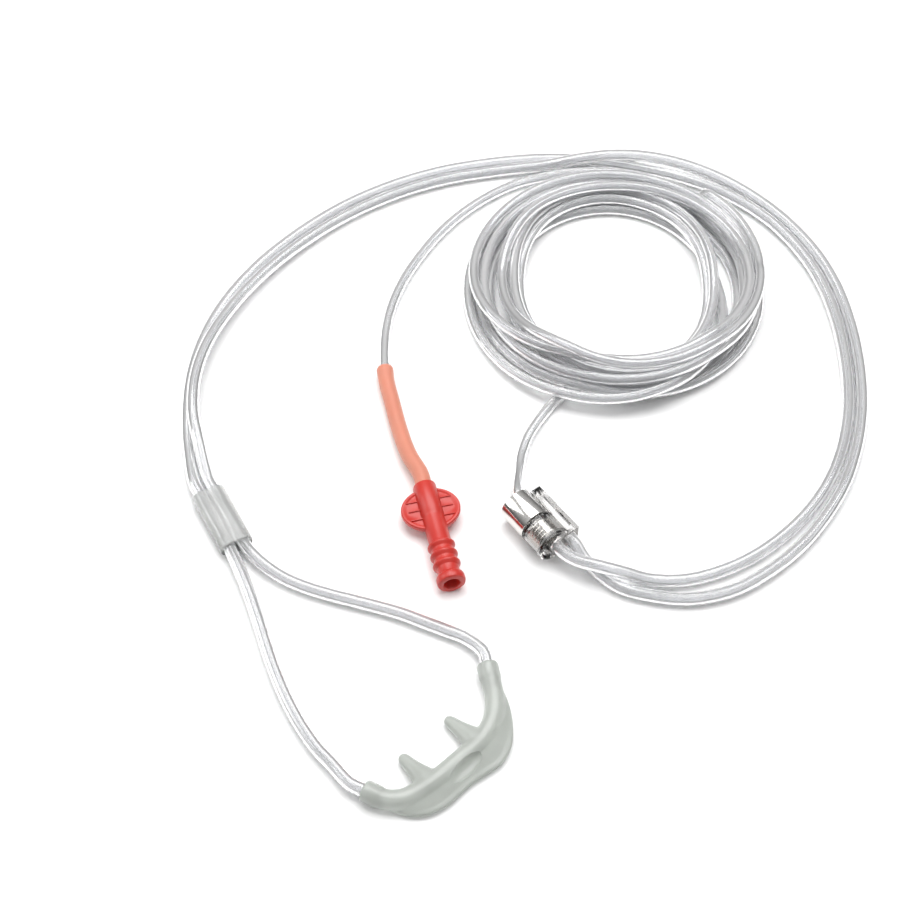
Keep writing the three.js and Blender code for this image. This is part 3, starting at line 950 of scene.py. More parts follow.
@dataclass
class Studio:
    """The pale floor, the soft lights and the camera."""

    aim: Vector = field(default_factory=lambda: to_frame((0, 0, 0)))
    distance: float = 0.472
    elevation: float = 52.5
    lens: float = 73.6
    bounces: int = 24
    clip_start: float = 0.01
    horizon: Colour = (0.04, 0.04, 0.04)
    zenith: Colour = (0.6, 0.6, 0.6)
    zenith_from: float = 0.8
    floor_size: float = 6.0
    floor_drop: float = 0.0001
    # Each soft box's name, place from the aim, width and height, and power
    boxes: tuple[tuple, ...] = (
        ("overhead", (0.05, 0.2, 0.75), (0.8, 0.6), 6.6),
        ("left_fill", (-0.8, 0.1, 0.5), (0.35, 0.6), 2.0),
    )

    def build(self) -> None:
        """Adds the camera, the lights and the floor."""
        self.camera()
        self.lights()
        self.floor()

    def camera(self) -> None:
        """Sets the camera at the photograph's viewing angle."""
        view = bpy.data.objects.new("camera", bpy.data.cameras.new("camera"))
        view.data.lens = self.lens
        view.data.clip_start = self.clip_start
        rise = math.radians(self.elevation)
        back = Vector((0, -math.cos(rise), math.sin(rise))) * self.distance
        view.location = self.aim + back
        view.rotation_euler = (math.pi / 2 - rise, 0, 0)
        bpy.context.scene.collection.objects.link(view)
        bpy.context.scene.camera = view

    def lights(self) -> None:
        """Hangs the soft boxes and sets the room's own light."""
        for name, place, size, power in self.boxes:
            self.soft_box(name, place, size, power)
        self.room()
        view = bpy.context.scene.view_settings
        view.view_transform = "Standard"
        paths = bpy.context.scene.cycles
        paths.max_bounces = self.bounces
        paths.transmission_bounces = self.bounces

    def room(self) -> None:
        """Sets the room's own light: pale above and dark at the horizon."""
        world = bpy.data.worlds.new("room")
        world.use_nodes = True
        nodes = world.node_tree.nodes
        links = world.node_tree.links
        spot = nodes.new("ShaderNodeTexCoord")
        split = nodes.new("ShaderNodeSeparateXYZ")
        ramp = nodes.new("ShaderNodeValToRGB")
        stops = ramp.color_ramp.elements
        stops[0].color = (*self.horizon, 1)
        stops[1].color = (*self.zenith, 1)
        stops[1].position = self.zenith_from
        links.new(spot.outputs["Generated"], split.inputs["Vector"])
        links.new(split.outputs["Z"], ramp.inputs["Fac"])
        links.new(ramp.outputs["Color"], nodes["Background"].inputs["Color"])
        bpy.context.scene.world = world

    def soft_box(self, name: str, place: Row, size: Row, power: float) -> None:
        """Hangs one soft box that faces the part.

        Args:
            name: Its name.
            place: Its place from the aim, in metres.
            size: Its width and height.
            power: Its power in watts.
        """
        data = bpy.data.lights.new(name, "AREA")
        data.shape = "RECTANGLE"
        data.size, data.size_y = size
        data.energy = power
        box = bpy.data.objects.new(name, data)
        box.location = self.aim + Vector(place)
        box.rotation_euler = Vector(place).to_track_quat("Z", "Y").to_euler()
        bpy.context.scene.collection.objects.link(box)

    def floor(self) -> None:
        """Lays the floor."""
        deselect()
        middle = (self.aim.x, self.aim.y, -self.floor_drop)
        bpy.ops.mesh.primitive_plane_add(size=self.floor_size, location=middle)
        floor = bpy.context.active_object
        floor.name = "floor"
        rest_transform(floor)
        floor.data.materials.append(PaleFloor().material())


@dataclass
class LariatTubes:
    """The two lariat tubes, from the union through the slider to the nasal piece."""

    finish: bpy.types.Material

    def build(self) -> None:
        """Builds both tubes."""
        for side, name, branch in (
            (Side.LEFT, "lariat_tube_left", LEFT_BRANCH),
            (Side.RIGHT, "lariat_tube_right", RIGHT_BRANCH),
        ):
            self.one(side, name, branch)

    def one(self, side: Side, name: str, branch: Sequence[Row]) -> None:
        """Builds one tube.

        Args:
            side: Which tube it is.
            name: The CAD node that it stands for.
            branch: Its own route below the slider.
        """
        points = [*self.paired(side), *resting(branch, LARIAT_OD), *self.in_collar(side)]
        path = [to_frame(point) for point in smooth(points, RING_STEP)]
        radius = LARIAT_OD * MM / 2
        piece = tube(f"{name}_clear", path, lambda share: radius, LARIAT_BORE * MM / 2)
        finish_piece(piece, Body.CANNULA, "lariat_tube", self.finish, name)
        across = self.socket_across(side)
        to_frame(UNION_SEAT.place(UNION_LENGTH, across, LARIAT_SOCKET_UP))
        log.info("%s is %.0f mm long", name, length_of(path) / MM)

    def socket_across(self, side: Side) -> float:
        """How far the tube's socket lies from the union's axis."""
        return LARIAT_SOCKET_ACROSS + (LARIAT_SOCKET_SPACING if side is Side.RIGHT else 0.0)

    def paired(self, side: Side) -> list[Vector]:
        """The tube's centreline from the union to the slider's middle.

        Args:
            side: Which tube it is.

        Returns:
            The points in layout millimetres.
        """
        across = self.socket_across(side)
        points = [
            UNION_SEAT.place(UNION_LENGTH + along, across, LARIAT_SOCKET_UP)
            for along in (-END_SOCKET_DEPTH + SOCKET_GAP, 0, LARIAT_STRAIGHT)
        ]
        last = len(PAIR_ROWS) - 1
        for index, (x, y, lean, spare, lift) in enumerate(PAIR_ROWS):
            before = Vector(PAIR_ROWS[max(index - 1, 0)][:2])
            after = Vector(PAIR_ROWS[min(index + 1, last)][:2])
            run = (after - before).normalized()
            half = (PAIR_SPACING + spare) / 2
            tilt = math.radians(lean)
            out = side.value * half * math.cos(tilt)
            up = side.value * half * math.sin(tilt)
            middle = LARIAT_OD / 2 + REST_GAP + lift + half * abs(math.sin(tilt))
            points.append(Vector((x + run.y * out, y - run.x * out, middle + up)))
        half = SLIDER_LENGTH / 2
        points += [
            SLIDER_SEAT.place(along, -side.value * PAIR_SPACING / 2)
            for along in (-half - SLIDER_TRAVEL, -half, 0, half)
        ]
        return points

    def in_collar(self, side: Side) -> list[Vector]:
        """The tube's last points, straight into the nasal piece's collar."""
        mouth, inward = collar_axis(side)
        return [
            NASAL_SEAT.matrix() @ (mouth + inward * inside)
            for inside in (-COLLAR_STRAIGHT, 0, COLLAR_SOCKET_DEPTH - SOCKET_GAP)
        ]


def arm_line(step: float = ARM_STEP) -> list[Vector]:
    """The nasal piece's arm, in its own axes."""
    return smooth([Vector((x, y, 0)) for x, y in ARM_POINTS], step)


def collar_axis(side: Side) -> tuple[Vector, Vector]:
    """The mouth of a collar and the way into it, in the nasal piece's own axes."""
    line = arm_line(ARM_FINE_STEP)
    if side is Side.RIGHT:
        line = line[::-1]
    return line[0], (line[1] - line[0]).normalized()


@dataclass
class Winding:
    """The coil of the sampling line: turns of their own size, each laid on those before it."""

    centre: Vector = field(default_factory=lambda: Vector((44.7, 54.3)))
    quarter_samples: int = 48
    laid_gap: float = 0.05
    quarters_relaxed: int = 3
    kept_every: int = 2
    # Each turn's reach from the centre: towards the viewer, to the right, away and to the left
    turns: tuple[Row, ...] = (
        (33.1, 33.9, 33.6, 33.9),
        (35.9, 36.7, 36.6, 36.8),
        (38.7, 39.6, 39.6, 39.8),
        (41.4, 28.6, 30.5, 28.6),
        (30.5, 25.5, 32.1, 25.6),
        (31.9, 27.1, 35.1, 27.2),
        (34.5, 35.3, 38.0, 35.4),
        (37.3, 38.2, 39.4, 38.2),
        (31.4, 36.4, 33.8, 30.6),
        (34.4, 39.4, 43.2, 43.2),
    )

    def flat(self) -> np.ndarray:
        """The coil seen from above.

        Returns:
            Rows of X and Y in layout millimetres.
        """
        knots = np.array(self.turns).ravel()
        knots = np.concatenate([[2 * knots[0] - knots[1]], knots])
        t = np.arange(self.quarter_samples) / self.quarter_samples
        reaches = []
        for before, start, end, after in zip(knots, knots[1:], knots[2:], knots[3:]):
            bend = 3 * (start - end) + after - before
            lean = 2 * before - 5 * start + 4 * end - after
            reaches.append(start + t * (end - before + t * (lean + t * bend)) / 2)
        reach = np.concatenate(reaches)
        angle = (np.arange(len(reach)) / self.quarter_samples - 1) * math.pi / 2
        x = self.centre.x + reach * np.cos(angle)
        y = self.centre.y + reach * np.sin(angle)
        return np.stack([x, y], axis=1)

    def stacked(self, lead: Sequence[Vector], last: float) -> list[Vector]:
        """The coil with each turn laid on what lies under it.

        Args:
            lead: The line before the coil.
            last: The height at the coil's end.

        Returns:
            The centreline in layout millimetres.
        """
        coil = self.flat()
        places = np.concatenate([np.array([(p.x, p.y) for p in lead]), coil])
        low = SAMPLE_OD / 2 + REST_GAP
        heights = np.concatenate([[p.z for p in lead], np.full(len(coil), low)])
        needs = heights.copy()
        clear = SAMPLE_OD + self.laid_gap
        half_turn = 2 * self.quarter_samples
        for start in range(len(lead), len(places), half_turn):
            end = min(start + half_turn, len(places))
            under = start - self.quarter_samples
            if under > 0:
                gaps = np.linalg.norm(places[start:end, None] - places[None, :under], axis=2)
                lift = np.sqrt(np.maximum(clear**2 - gaps**2, 0))
                laid = np.where(gaps < clear, heights[None, :under] + lift, 0)
                needs[start:end] = np.maximum(needs[start:end], laid.max(axis=1))
            first = max(start - self.quarter_samples, len(lead) - 1)
            heights[first:end] = self.relaxed(needs[first:end], heights[first])
        tail = len(places) - self.quarter_samples
        level = np.full(self.quarter_samples, low)
        heights[tail:] = np.maximum(self.relaxed(level, heights[tail], last), needs[tail:])
        rows = zip(coil, heights[len(lead) :])
        return [Vector((x, y, z)) for (x, y), z in rows][:: self.kept_every]

    def relaxed(
        self, need: np.ndarray, first: float, last: float | None = None
    ) -> np.ndarray:
        """Draws the line over humps as long low waves.

        Args:
            need: The least height at each place.
            first: The height that it starts from.
            last: The height that it ends at, if that is settled.

        Returns:
            The heights.
        """
        heights = need.copy()
        heights[0] = max(first, need[0])
        if last is not None:
            heights[-1] = last
        for _ in range(self.quarter_samples * self.quarters_relaxed):
            middle = (heights[:-2] + heights[2:]) / 2
            heights[1:-1] = np.maximum(need[1:-1], middle)
        return heights


@dataclass
class SamplingLine:
    """The sampling line, from the union through the coil to the connector."""

    finish: bpy.types.Material
    winding: Winding = field(default_factory=Winding)
    sides: int = 20

    def build(self, pieces: Sequence[bpy.types.Object]) -> None:
        """Args:
            pieces: The pieces on its far end, which are not used.
        """
        points = [
            UNION_SEAT.place(along, SAMPLE_SOCKET_ACROSS, SAMPLE_SOCKET_UP)
            for along in (SAMPLE_SOCKET_DEPTH - SOCKET_GAP, 0, -SAMPLE_STRAIGHT)
        ]
        points += resting([*UNION_END, *UNDER_COIL], SAMPLE_OD)
        leaving = resting(CONNECTOR_END, SAMPLE_OD)
        points += self.winding.stacked(smooth(points, RING_STEP), leaving[0].z)
        points += leaving
        points += resting(STRAIN_ROUTE, STRAIN_OD)
        points += [
            CONNECTOR_SEAT.place(along, 0) for along in (-STRAIN_STRAIGHT, CONNECTOR_SOCKET_DEPTH)
        ]
        path = [to_frame(point) for point in smooth(points, COIL_STEP)]
        radius = SAMPLE_OD * MM / 2
        bore = SAMPLE_BORE * MM / 2
        piece = tube("sampling_line", path, lambda share: radius, bore, self.sides)
        nodes = ("sample_line_union_end", "sample_line_coil", "sample_line_connector_end")
        finish_piece(piece, Body.CANNULA, "sampling_tube", self.finish, *nodes)
        to_frame(UNION_SEAT.place(0, SAMPLE_SOCKET_ACROSS, SAMPLE_SOCKET_UP))


@dataclass
class StrainSleeve:
    """The salmon sleeve over the sampling line's end, flared where the line goes in."""

    finish: bpy.types.Material
    wall: float = 0.55
    step: float = 0.5
    sides: int = 28
    flare: float = 0.1
    flare_run: float = 0.05
    rim: float = 0.12
    rim_run: float = 0.006

    def build(self) -> bpy.types.Object:
        """Builds the sleeve.

        Returns:
            The sleeve.
        """
        points = resting(STRAIN_ROUTE, STRAIN_OD)
        points += [
            CONNECTOR_SEAT.place(along, 0)
            for along in (-STRAIN_STRAIGHT, 0, CONNECTOR_SOCKET_DEPTH - SOCKET_GAP)
        ]
        path = [to_frame(point) for point in smooth(points, self.step)]
        outer = STRAIN_OD * MM / 2

        def radius(share: float) -> float:
            """The outer radius, rounded at the rim and a little flared below it."""
            flare = 1 + self.flare * math.exp(-share / self.flare_run)
            rim = 1 - self.rim * math.exp(-share / self.rim_run)
            return outer * flare * rim

        bore = outer - self.wall * MM
        piece = tube("salmon_sleeve", path, radius, bore, self.sides)
        return finish_piece(piece, Body.CANNULA, "salmon_sleeve", self.finish, "strain_sleeve")


@dataclass
class NasalPiece:
    """The soft nasal piece: arms, collars, prongs and a two-lobed bib in one moulding."""

    finish: bpy.types.Material
    voxel: float = 0.24
    fillet_passes: int = 16
    fillet_share: float = 0.5
    prong_lean: float = math.radians(3)
    # Distance along a prong from the arm's axis, and its radius there
    prong_profile: tuple[Row, ...] = (
        (0.0, 2.3),
        (2.2, 2.25),
        (3.4, 2.1),
        (5.2, 1.85),
        (7.4, 1.6),
        (8.8, 1.5),
        (9.6, 1.3),
        (PRONG_REACH + 0.3, 0.8),
    )
    prong_spread: float = 0.55
    prong_foot_step: float = 0.2
    bore_length: float = 11.0
    collar_lip: float = 0.3
    collar_taper: Row = (2.0, 0.5)
    scoop_at: Row = (0.3, -2.9, 1.15)
    scoop_size: Row = (5.2, 2.1, 1.7)
    scoop_turn: float = math.radians(8)
    scoop_tilt: float = math.radians(18)
    bib_rows: int = 60
    bib_step: float = 0.2
    bib_clearance: float = 0.5
    # Share of the way from the arm's ridge to the edge, and the height of the top there
    bib_slope: tuple[Row, ...] = ((1.0, -0.9), (0.8, -0.55), (0.5, 0.35), (0.25, 1.2), (0.0, 1.9))

    def build(self) -> bpy.types.Object:
        """Builds the piece.

        Returns:
            The nasal piece.
        """
        piece = self.arm("nasal_moulding", ARM_OD / 2)
        parts = [self.bib()]
        for side in Side:
            parts.append(self.collar(side))
            parts.append(self.prong(side))
        take(piece)
        for part in parts:
            part.select_set(True)
        bpy.ops.object.join()
        change(piece, "REMESH", mode="VOXEL", voxel_size=self.voxel)
        change(piece, "SMOOTH", factor=self.fillet_share, iterations=self.fillet_passes)
        sockets = [self.socket(side) for side in Side]
        bores = [self.bore(side) for side in Side]
        cut(piece, self.scoop(), *sockets, *bores)
        soften(piece)
        seat(piece, NASAL_SEAT)
        return finish_piece(piece, Body.CANNULA, "frosted_vinyl", self.finish, "nasal_piece")

    def arm(self, name: str, radius: float) -> bpy.types.Object:
        """Sweeps a solid round rod along the arm."""
        curve = bpy.data.curves.new(name, "CURVE")
        curve.dimensions = "3D"
        curve.bevel_depth = radius
        curve.bevel_resolution = 8
        curve.use_fill_caps = True
        line = arm_line()
        spline = curve.splines.new("POLY")
        spline.points.add(len(line) - 1)
        for point, place in zip(spline.points, line):
            point.co = (*place, 1)
        piece = bpy.data.objects.new(name, curve)
        bpy.context.scene.collection.objects.link(piece)
        take(piece)
        bpy.ops.object.convert(target="MESH")
        return bpy.context.active_object

    def upright(self, piece: bpy.types.Object, foot: Vector, way: Vector) -> bpy.types.Object:
        """Stands a solid turned about X on a foot, along a way."""
        turn = way.to_track_quat("X", "Z").to_matrix().to_4x4()
        rest_transform(piece, Matrix.Translation(foot) @ turn)
        return piece

    def collar(self, side: Side) -> bpy.types.Object:
        """Makes one collar with a rounded lip."""
        radius = COLLAR_OD / 2
        lip = self.collar_lip
        run, fall = self.collar_taper
        profile = [(0, radius - lip), (lip, radius), (COLLAR_LENGTH - run, radius)]
        profile += [(COLLAR_LENGTH, radius - fall)]
        mouth, inward = collar_axis(side)
        return self.upright(turned("collar", profile), mouth, inward)

    def socket(self, side: Side) -> bpy.types.Object:
        """Makes the cutter for one collar's socket."""
        radius = LARIAT_OD / 2 + SOCKET_GAP
        mouth, inward = collar_axis(side)
        profile = [(-1, radius), (COLLAR_SOCKET_DEPTH, radius)]
        return self.upright(turned("socket", profile, SOCKET_FACETS), mouth, inward)

    def prong_axis(self, side: Side) -> tuple[Vector, Vector]:
        """The foot of a prong on the arm's axis and the way that it points."""
        x = PRONG_CENTRE + side.value * PRONG_SPACING / 2
        line = arm_line(self.prong_foot_step)
        foot = min(line, key=lambda point: abs(point.x - x))
        lean = Matrix.Rotation(PRONG_LEAN + side.value * self.prong_lean, 3, "Z")
        droop = Matrix.Rotation(-PRONG_DROOP, 3, "X")
        return foot, lean @ droop @ Vector((0, 1, 0))

    def prong(self, side: Side) -> bpy.types.Object:
        """Makes one prong: a wide foot, a taper and a rounded tip."""
        foot, way = self.prong_axis(side)
        piece = turned("prong", self.prong_profile)
        for corner in piece.data.vertices:
            spread = max(0.0, 1 - corner.co.x / PRONG_REACH)
            corner.co.y *= 1 + self.prong_spread * spread**2
        return self.upright(piece, foot, way)

    def bore(self, side: Side) -> bpy.types.Object:
        """Makes the cutter for one prong's bore."""
        foot, way = self.prong_axis(side)
        radius = PRONG_BORE / 2
        profile = [(0, radius), (self.bore_length, radius)]
        return self.upright(turned("bore", profile, BORE_FACETS), foot, way)

    def bib(self) -> bpy.types.Object:
        """Lofts the two-lobed bib, which slopes from the arm's ridge to a thin edge.

        Returns:
            The bib.
        """
        outline = smooth([Vector((x, y, 0)) for x, y in BIB_EDGE], self.bib_step)
        ridge = smooth([Vector((x, y, 0)) for x, y in ARM_POINTS[1:-1]], self.bib_step)
        low = self.bib_clearance - COLLAR_OD / 2
        corners = []
        for row in range(self.bib_rows + 1):
            share = row / self.bib_rows
            start = ridge[round(share * (len(ridge) - 1))]
            end = outline[round(share * (len(outline) - 1))]
            section = [(0.0, low), (1.0, low), *self.bib_slope]
            corners += [(*start.lerp(end, way).xy, height) for way, height in section]
        ring = len(self.bib_slope) + 2
        faces = [list(range(ring))[::-1], [self.bib_rows * ring + i for i in range(ring)]]
        for row in range(self.bib_rows):
            for index in range(ring):
                here = row * ring + index
                there = row * ring + (index + 1) % ring
                faces.append([here, there, there + ring, here + ring])
        mesh = bpy.data.meshes.new("bib")
        mesh.from_pydata(corners, [], faces)
        piece = bpy.data.objects.new("bib", mesh)
        bpy.context.scene.collection.objects.link(piece)
        take(piece)
        bpy.ops.object.mode_set(mode="EDIT")
        close_up()
        return piece

    def scoop(self) -> bpy.types.Object:
        """Makes the cutter for the shallow scoop in the bib, between the prongs."""
        deselect()
        bpy.ops.mesh.primitive_uv_sphere_add(segments=48, ring_count=24, radius=1)
        piece = bpy.context.active_object
        shape = Matrix.Diagonal((*self.scoop_size, 1))
        tilt = Matrix.Rotation(self.scoop_tilt, 4, "X")
        turn = Matrix.Rotation(self.scoop_turn, 4, "Z") @ tilt
        rest_transform(piece, Matrix.Translation(self.scoop_at) @ turn @ shape)
        return piece


@dataclass
class Slider:
    """The frosted oval sleeve that gathers the two lariat tubes."""

    finish: bpy.types.Material
    flare_depth: float = 3.2
    flare_room: float = 0.6
    rounding: float = 0.55

    def build(self) -> bpy.types.Object:
        """Builds the slider.

        Returns:
            The slider.
        """
        width = SLIDER_BORE_WIDTH + 2 * SLIDER_WALL
        height = SLIDER_BORE_HEIGHT + 2 * SLIDER_WALL
        half = SLIDER_LENGTH / 2
        piece = self.oval("slider_sleeve", width, height, half)
        ease(piece, self.rounding, 4)
        cut(piece, self.oval("way", SLIDER_BORE_WIDTH, SLIDER_BORE_HEIGHT, half + 1))
        wide = SLIDER_BORE_WIDTH + self.flare_room
        flare = self.oval("flare", wide, SLIDER_BORE_HEIGHT + self.flare_room, half)
        rest_transform(flare, Matrix.Translation((2 * half - self.flare_depth, 0, 0)))
        cut(piece, flare)
        soften(piece)
        seat(piece, SLIDER_SEAT)
        return finish_piece(piece, Body.SLIDER, "slider_vinyl", self.finish, "slider")

    def oval(self, name: str, width: float, height: float, half: float) -> bpy.types.Object:
        """Makes an oval rod along X, by drawing the halves of a round one apart.

        Args:
            name: Its name.
            width: Its full width.
            height: Its full height.
            half: Half its length.

        Returns:
            The rod.
        """
        radius = height / 2
        piece = turned(name, [(-half, radius), (half, radius)], OVAL_FACETS)
        shift = (width - height) / 2
        take(piece)
        bpy.ops.object.mode_set(mode="EDIT")
        for way in (-1, 1):
            bpy.ops.mesh.select_all(action="DESELECT")
            bpy.ops.object.mode_set(mode="OBJECT")
            for corner in piece.data.vertices:
                corner.select = corner.co.y * way > 0.001
            bpy.ops.object.mode_set(mode="EDIT")
            bpy.ops.transform.translate(value=(0, way * shift, 0))
        bpy.ops.object.mode_set(mode="OBJECT")
        return piece


@dataclass
class Union:
    """The union: a clear body, a bright sleeve and a bright threaded ring inside the shell."""

    clear: bpy.types.Material
    band: bpy.types.Material
    thread: bpy.types.Material
    sleeve_wall: float = 0.45
    sleeve_rounding: float = 0.06
    sleeve_face: float = 0.02
    sleeve_lip: float = 0.2
    sleeve_chamfer: float = 0.1
    core_gap: float = 0.15
    core_chamfer: float = 0.3
    shell_chamfer: float = 0.15
    end_chamfer: float = 0.35
    spigot_start: float = 1.15
    spigot_gap: float = 0.15
    rail_gap: float = 0.2
    thread_rounding: float = 0.05
    body_rounding: float = 0.12
    shell_wall: float = 0.6
    end_wall: float = 1.7
    neck: float = 5.2
    spigot: float = 7.7
    thread_depth: float = 0.8
    thread_count: int = 4
    # Shares of the pitch where a ridge has risen, starts to fall and has fallen
    thread_shares: Row = (0.35, 0.6, 0.95)
    rail_start: float = 0.8
    rail_reach: float = 6.9
    rail_height: float = 4.8
    window: Row = (1.6, 4.0)
    window_width: float = 0.9
    groove_length: float = 5.6
    groove_width: float = 0.45
    groove_depth: float = 1.2
    web: float = 0.7
    mouth_height: float = 3.0
    mouth_turn: float = math.radians(-70)

    def build(self) -> None:
        """Builds the three pieces."""
        self.sleeve()
        self.spigot_ring()
        self.body()

    def sleeve(self) -> None:
        """Makes the bright sleeve with rounded edges."""
        outer = UNION_OD / 2
        bore = outer - self.sleeve_wall
        profile = [
            (0, bore),
            (self.sleeve_face, outer - self.sleeve_lip),
            (self.sleeve_face + self.sleeve_lip, outer),
            (SLEEVE_LENGTH - self.sleeve_chamfer, outer),
            (SLEEVE_LENGTH, outer - self.sleeve_chamfer),
            (SLEEVE_LENGTH, bore),
            (0, bore),
        ]
        piece = turned("union_band", profile, BAND_FACETS)
        ease(piece, self.sleeve_rounding)
        seat(piece, UNION_SEAT)
        finish_piece(piece, Body.CANNULA, "chromed_band", self.band, "union_sleeve")

    def spigot_ring(self) -> None:
        """Makes the bright threaded ring."""
        start = SLEEVE_LENGTH + self.spigot_start
        end = UNION_LENGTH - self.end_wall - self.spigot_gap
        pitch = (end - start) / self.thread_count
        crest = self.spigot / 2
        root = crest - self.thread_depth
        bore = self.neck / 2 + self.spigot_gap
        profile = [(start, bore)]
        for index in range(self.thread_count):
            at = start + index * pitch
            rise, level, fall = [at + share * pitch for share in self.thread_shares]
            profile += [(at, root), (rise, crest), (level, crest), (fall, root)]
        profile += [(end, root), (end, bore), (start, bore)]
        piece = turned("union_thread", profile, BODY_FACETS)
        ease(piece, self.thread_rounding)
        seat(piece, UNION_SEAT)
        finish_piece(piece, Body.CANNULA, "chromed_thread", self.thread, "union_spigot")

    def body(self) -> None:
        """Makes the clear body with its rail, window, groove, mouth and sockets."""
        outer = UNION_OD / 2
        start = SLEEVE_LENGTH + RUNNING_GAP
        web = start + self.web
        end = UNION_LENGTH - self.end_wall
        core = outer - self.sleeve_wall - self.core_gap
        inside = outer - self.shell_wall
        profile = [
            (0, core - self.core_chamfer),
            (self.core_chamfer, core),
            (start, core),
            (start, outer - self.shell_chamfer),
            (start + self.shell_chamfer, outer),
            (UNION_LENGTH - self.end_chamfer, outer),
            (UNION_LENGTH, outer - self.end_chamfer),
        ]
        piece = turned("union_clear_body", profile, BODY_FACETS)
        ring = self.ring(web, end, self.neck / 2, inside)
        cut(piece, turned("chamber", ring, OVAL_FACETS))
        rail = block(
            "rail",
            (self.rail_start, self.neck / 2, -self.rail_height / 2),
            (UNION_LENGTH, self.rail_reach, self.rail_height / 2),
        )
        clear = outer + self.rail_gap
        cut(rail, turned("way", [(-1, clear), (start, clear)]))
        cut(rail, turned("way", [(web, inside), (end, inside)]))
        fuse(piece, rail)
        middle = (outer + self.rail_reach) / 2
        half = self.window_width / 2
        window = block(
            "window",
            (self.window[0], middle - half, -UNION_OD),
            (self.window[1], middle + half, UNION_OD),
        )
        half = self.groove_width / 2
        groove = block(
            "groove",
            (start, middle - half, self.rail_height / 2 - self.groove_depth),
            (start + self.groove_length, middle + half, UNION_OD),
        )
        half = self.mouth_height / 2
        mouth = block("mouth", (web, 0, -half), (end, UNION_OD, half))
        cut(mouth, turned("way", [(0, self.neck / 2), (UNION_LENGTH, self.neck / 2)]))
        rest_transform(mouth, Matrix.Rotation(self.mouth_turn, 4, "X"))
        cut(piece, window, groove, mouth)
        for index in range(2):
            self.socket(
                piece,
                UNION_LENGTH - END_SOCKET_DEPTH,
                UNION_LENGTH + 1,
                LARIAT_OD,
                LARIAT_SOCKET_ACROSS + index * LARIAT_SOCKET_SPACING,
                LARIAT_SOCKET_UP,
            )
        self.socket(
            piece, -1, SAMPLE_SOCKET_DEPTH, SAMPLE_OD, SAMPLE_SOCKET_ACROSS, SAMPLE_SOCKET_UP
        )
        ease(piece, self.body_rounding)
        seat(piece, UNION_SEAT)
        finish_piece(piece, Body.CANNULA, "clear_housing", self.clear, "union_body")

    def ring(self, start: float, end: float, bore: float, outer: float) -> list[Row]:
        """The profile of a plain ring."""
        return [(start, bore), (start, outer), (end, outer), (end, bore), (start, bore)]

    def socket(
        self,
        piece: bpy.types.Object,
        start: float,
        end: float,
        diameter: float,
        across: float,
        up: float,
    ) -> None:
        """Cuts one tube's socket.

        Args:
            piece: The body.
            start: Where the cut starts along the axis.
            end: Where it ends.
            diameter: The tube's diameter.
            across: The socket's offset across the axis.
            up: Its offset upwards.
        """
        radius = diameter / 2 + SOCKET_GAP
        tool = turned("socket", [(start, radius), (end, radius)], SOCKET_FACETS)
        rest_transform(tool, Matrix.Translation((0, across, up)))
        cut(piece, tool)


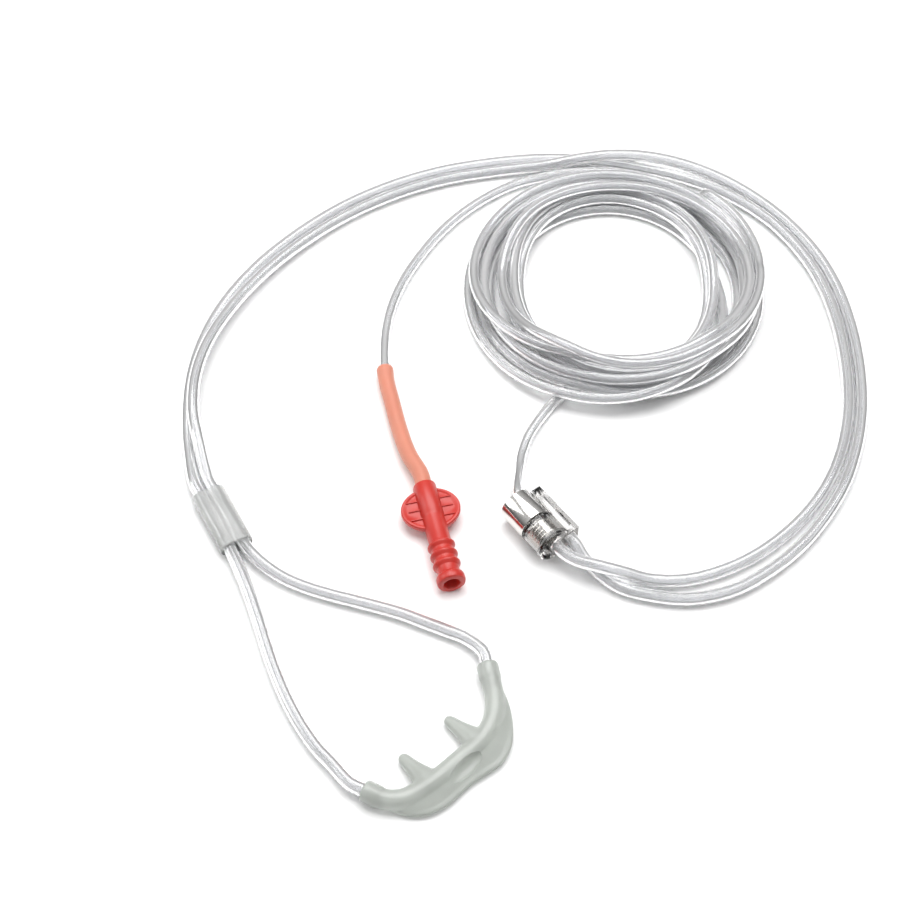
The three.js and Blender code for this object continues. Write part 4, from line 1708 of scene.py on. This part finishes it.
@dataclass
class Connector:
    """The red connector: barrel, collar, rings, flange, bore and a ribbed thumb paddle."""

    finish: bpy.types.Material
    collar: float = 2.95
    barrel: float = 2.8
    crest: float = 3.45
    flange: float = 3.55
    bore: float = 1.9
    bore_depth: float = 12.0
    rounding: float = 0.12
    core: float = 1.0
    collar_end: float = 9.4
    first_ring: float = 18.1
    ring_spacing: float = 2.8
    ring_count: int = 3
    ring_length: float = 1.8
    flange_start: float = 27.3
    # Each corner's distance along its shape and fall below the widest radius
    start_lip: tuple[Row, ...] = ((0.0, 0.35), (0.1, 0.12), (0.4, 0.0))
    collar_shape: tuple[Row, ...] = ((0.0, 0.0), (0.2, 0.12), (1.2, 0.13))
    ring_shape: tuple[Row, ...] = ((0.35, 0.15), (0.6, 0.0), (0.95, 0.0), (1.25, 0.2))
    flange_shape: tuple[Row, ...] = ((0.6, 0.1), (0.9, 0.0), (2.1, 0.0), (2.5, 0.15), (2.7, 0.45))
    bore_draft: float = 0.1
    mouth_depth: float = 0.4
    mouth_flare: float = 0.3
    cut_past: float = 0.2
    rib_spacing: float = 2.7
    rib_width: float = 0.8
    rib_reach: Row = (1.5, 5.6)
    rib_height: float = 3.0
    rib_tip: Row = (0.3, 1, 0.55)
    paddle_at: float = 7.4
    paddle_length: float = 12.6
    paddle_width: float = 14.9
    paddle_thickness: float = 1.5
    paddle_edge: float = 0.25
    paddle_sink: float = 0.3
    # Shares of the paddle's half width where the rim's top and the sunk face end
    rim_shares: Row = (0.97, 0.9)
    face_share: float = 0.84

    def build(self) -> bpy.types.Object:
        """Builds the connector.

        Returns:
            The connector.
        """
        piece = self.barrel_solid()
        fuse(piece, self.paddle())
        for index in (-1, 0, 1):
            for side in Side:
                fuse(piece, self.rib(self.paddle_at + self.rib_spacing * index, side.value))
        length = CONNECTOR_LENGTH
        socket = STRAIN_OD / 2 + SOCKET_GAP / 2
        cut(piece, turned("socket", [(-1, socket), (CONNECTOR_SOCKET_DEPTH, socket)]))
        cut(piece, turned("core", [(1, self.core), (length - 1, self.core)]))
        mouth = [(length - self.bore_depth, self.bore - self.bore_draft)]
        mouth += [(length - self.mouth_depth, self.bore)]
        mouth += [(length + self.cut_past, self.bore + self.mouth_flare)]
        cut(piece, turned("bore", mouth))
        ease(piece, self.rounding, 3)
        seat(piece, CONNECTOR_SEAT)
        return finish_piece(piece, Body.CANNULA, "red_connector", self.finish, "connector")

    def barrel_solid(self) -> bpy.types.Object:
        """Turns the barrel with its collar, rings and end flange."""
        profile = self.stepped(0.0, self.collar, self.start_lip)
        profile += self.stepped(self.collar_end, self.collar, self.collar_shape)
        for index in range(self.ring_count):
            at = self.first_ring + self.ring_spacing * index
            profile += [(at, self.barrel), *self.stepped(at, self.crest, self.ring_shape)]
            profile += [(at + self.ring_length, self.barrel)]
        profile += [(self.flange_start, self.barrel)]
        profile += self.stepped(self.flange_start, self.flange, self.flange_shape)
        return turned("red_connector_body", profile, BODY_FACETS)

    def stepped(self, at: float, widest: float, shape: Sequence[Row]) -> list[Row]:
        """Places the corners of one part of the barrel's profile.

        Args:
            at: Where the part starts along the axis.
            widest: Its widest radius.
            shape: Each corner's distance along it and fall below the widest radius.

        Returns:
            The corners.
        """
        return [(at + along, widest - fall) for along, fall in shape]

    def paddle(self) -> bpy.types.Object:
        """Makes the oval paddle with a raised rim."""
        half = self.paddle_thickness / 2
        outer, inner = self.rim_shares
        profile = [(-half, inner), (-half, outer), (self.paddle_edge - half, 1.0)]
        profile += [(half - self.paddle_edge, 1.0), (half, outer), (half, inner)]
        profile += [(half - self.paddle_sink, self.face_share)]
        piece = turned("paddle", profile, BODY_FACETS)
        scale = Matrix.Diagonal((1, self.paddle_width / 2, self.paddle_length / 2, 1))
        stand = Matrix.Rotation(-math.pi / 2, 4, "Y")
        rest_transform(piece, Matrix.Translation((self.paddle_at, 0, 0)) @ stand @ scale)
        return piece

    def rib(self, at: float, way: int) -> bpy.types.Object:
        """Makes one tapering grip rib on both faces of the paddle."""
        half = self.rib_width / 2
        top = self.rib_height / 2
        root, tip = self.rib_reach
        piece = block("rib", (at - half, root, -top), (at + half, tip, top))
        take(piece)
        for corner in piece.data.vertices:
            corner.select = corner.co.y > (root + tip) / 2
        bpy.ops.object.mode_set(mode="EDIT")
        bpy.ops.transform.resize(value=self.rib_tip, center_override=(at, tip, 0))
        bpy.ops.object.mode_set(mode="OBJECT")
        if way < 0:
            rest_transform(piece, Matrix.Rotation(math.pi, 4, "X"))
        return piece


def main() -> None:
    """Builds the studio, the cords and then the hard pieces."""
    logging.basicConfig(level=logging.INFO, format="%(message)s")
    Studio().build()
    tubing = ClearTubing().material()
    LariatTubes(tubing).build()
    sleeve = StrainSleeve(SalmonSilicone().material()).build()
    connector = Connector(RedMoulding().material()).build()
    SamplingLine(tubing).build([sleeve, connector])
    NasalPiece(FrostedVinyl().material()).build()
    Slider(SliderVinyl().material()).build()
    Union(
        ClearHousing().material(),
        BrightMetal().material(),
        BrightMetal("bright_thread", roughness=0.13).material(),
    ).build()
    deselect()


if __name__ == "__main__":
    main()
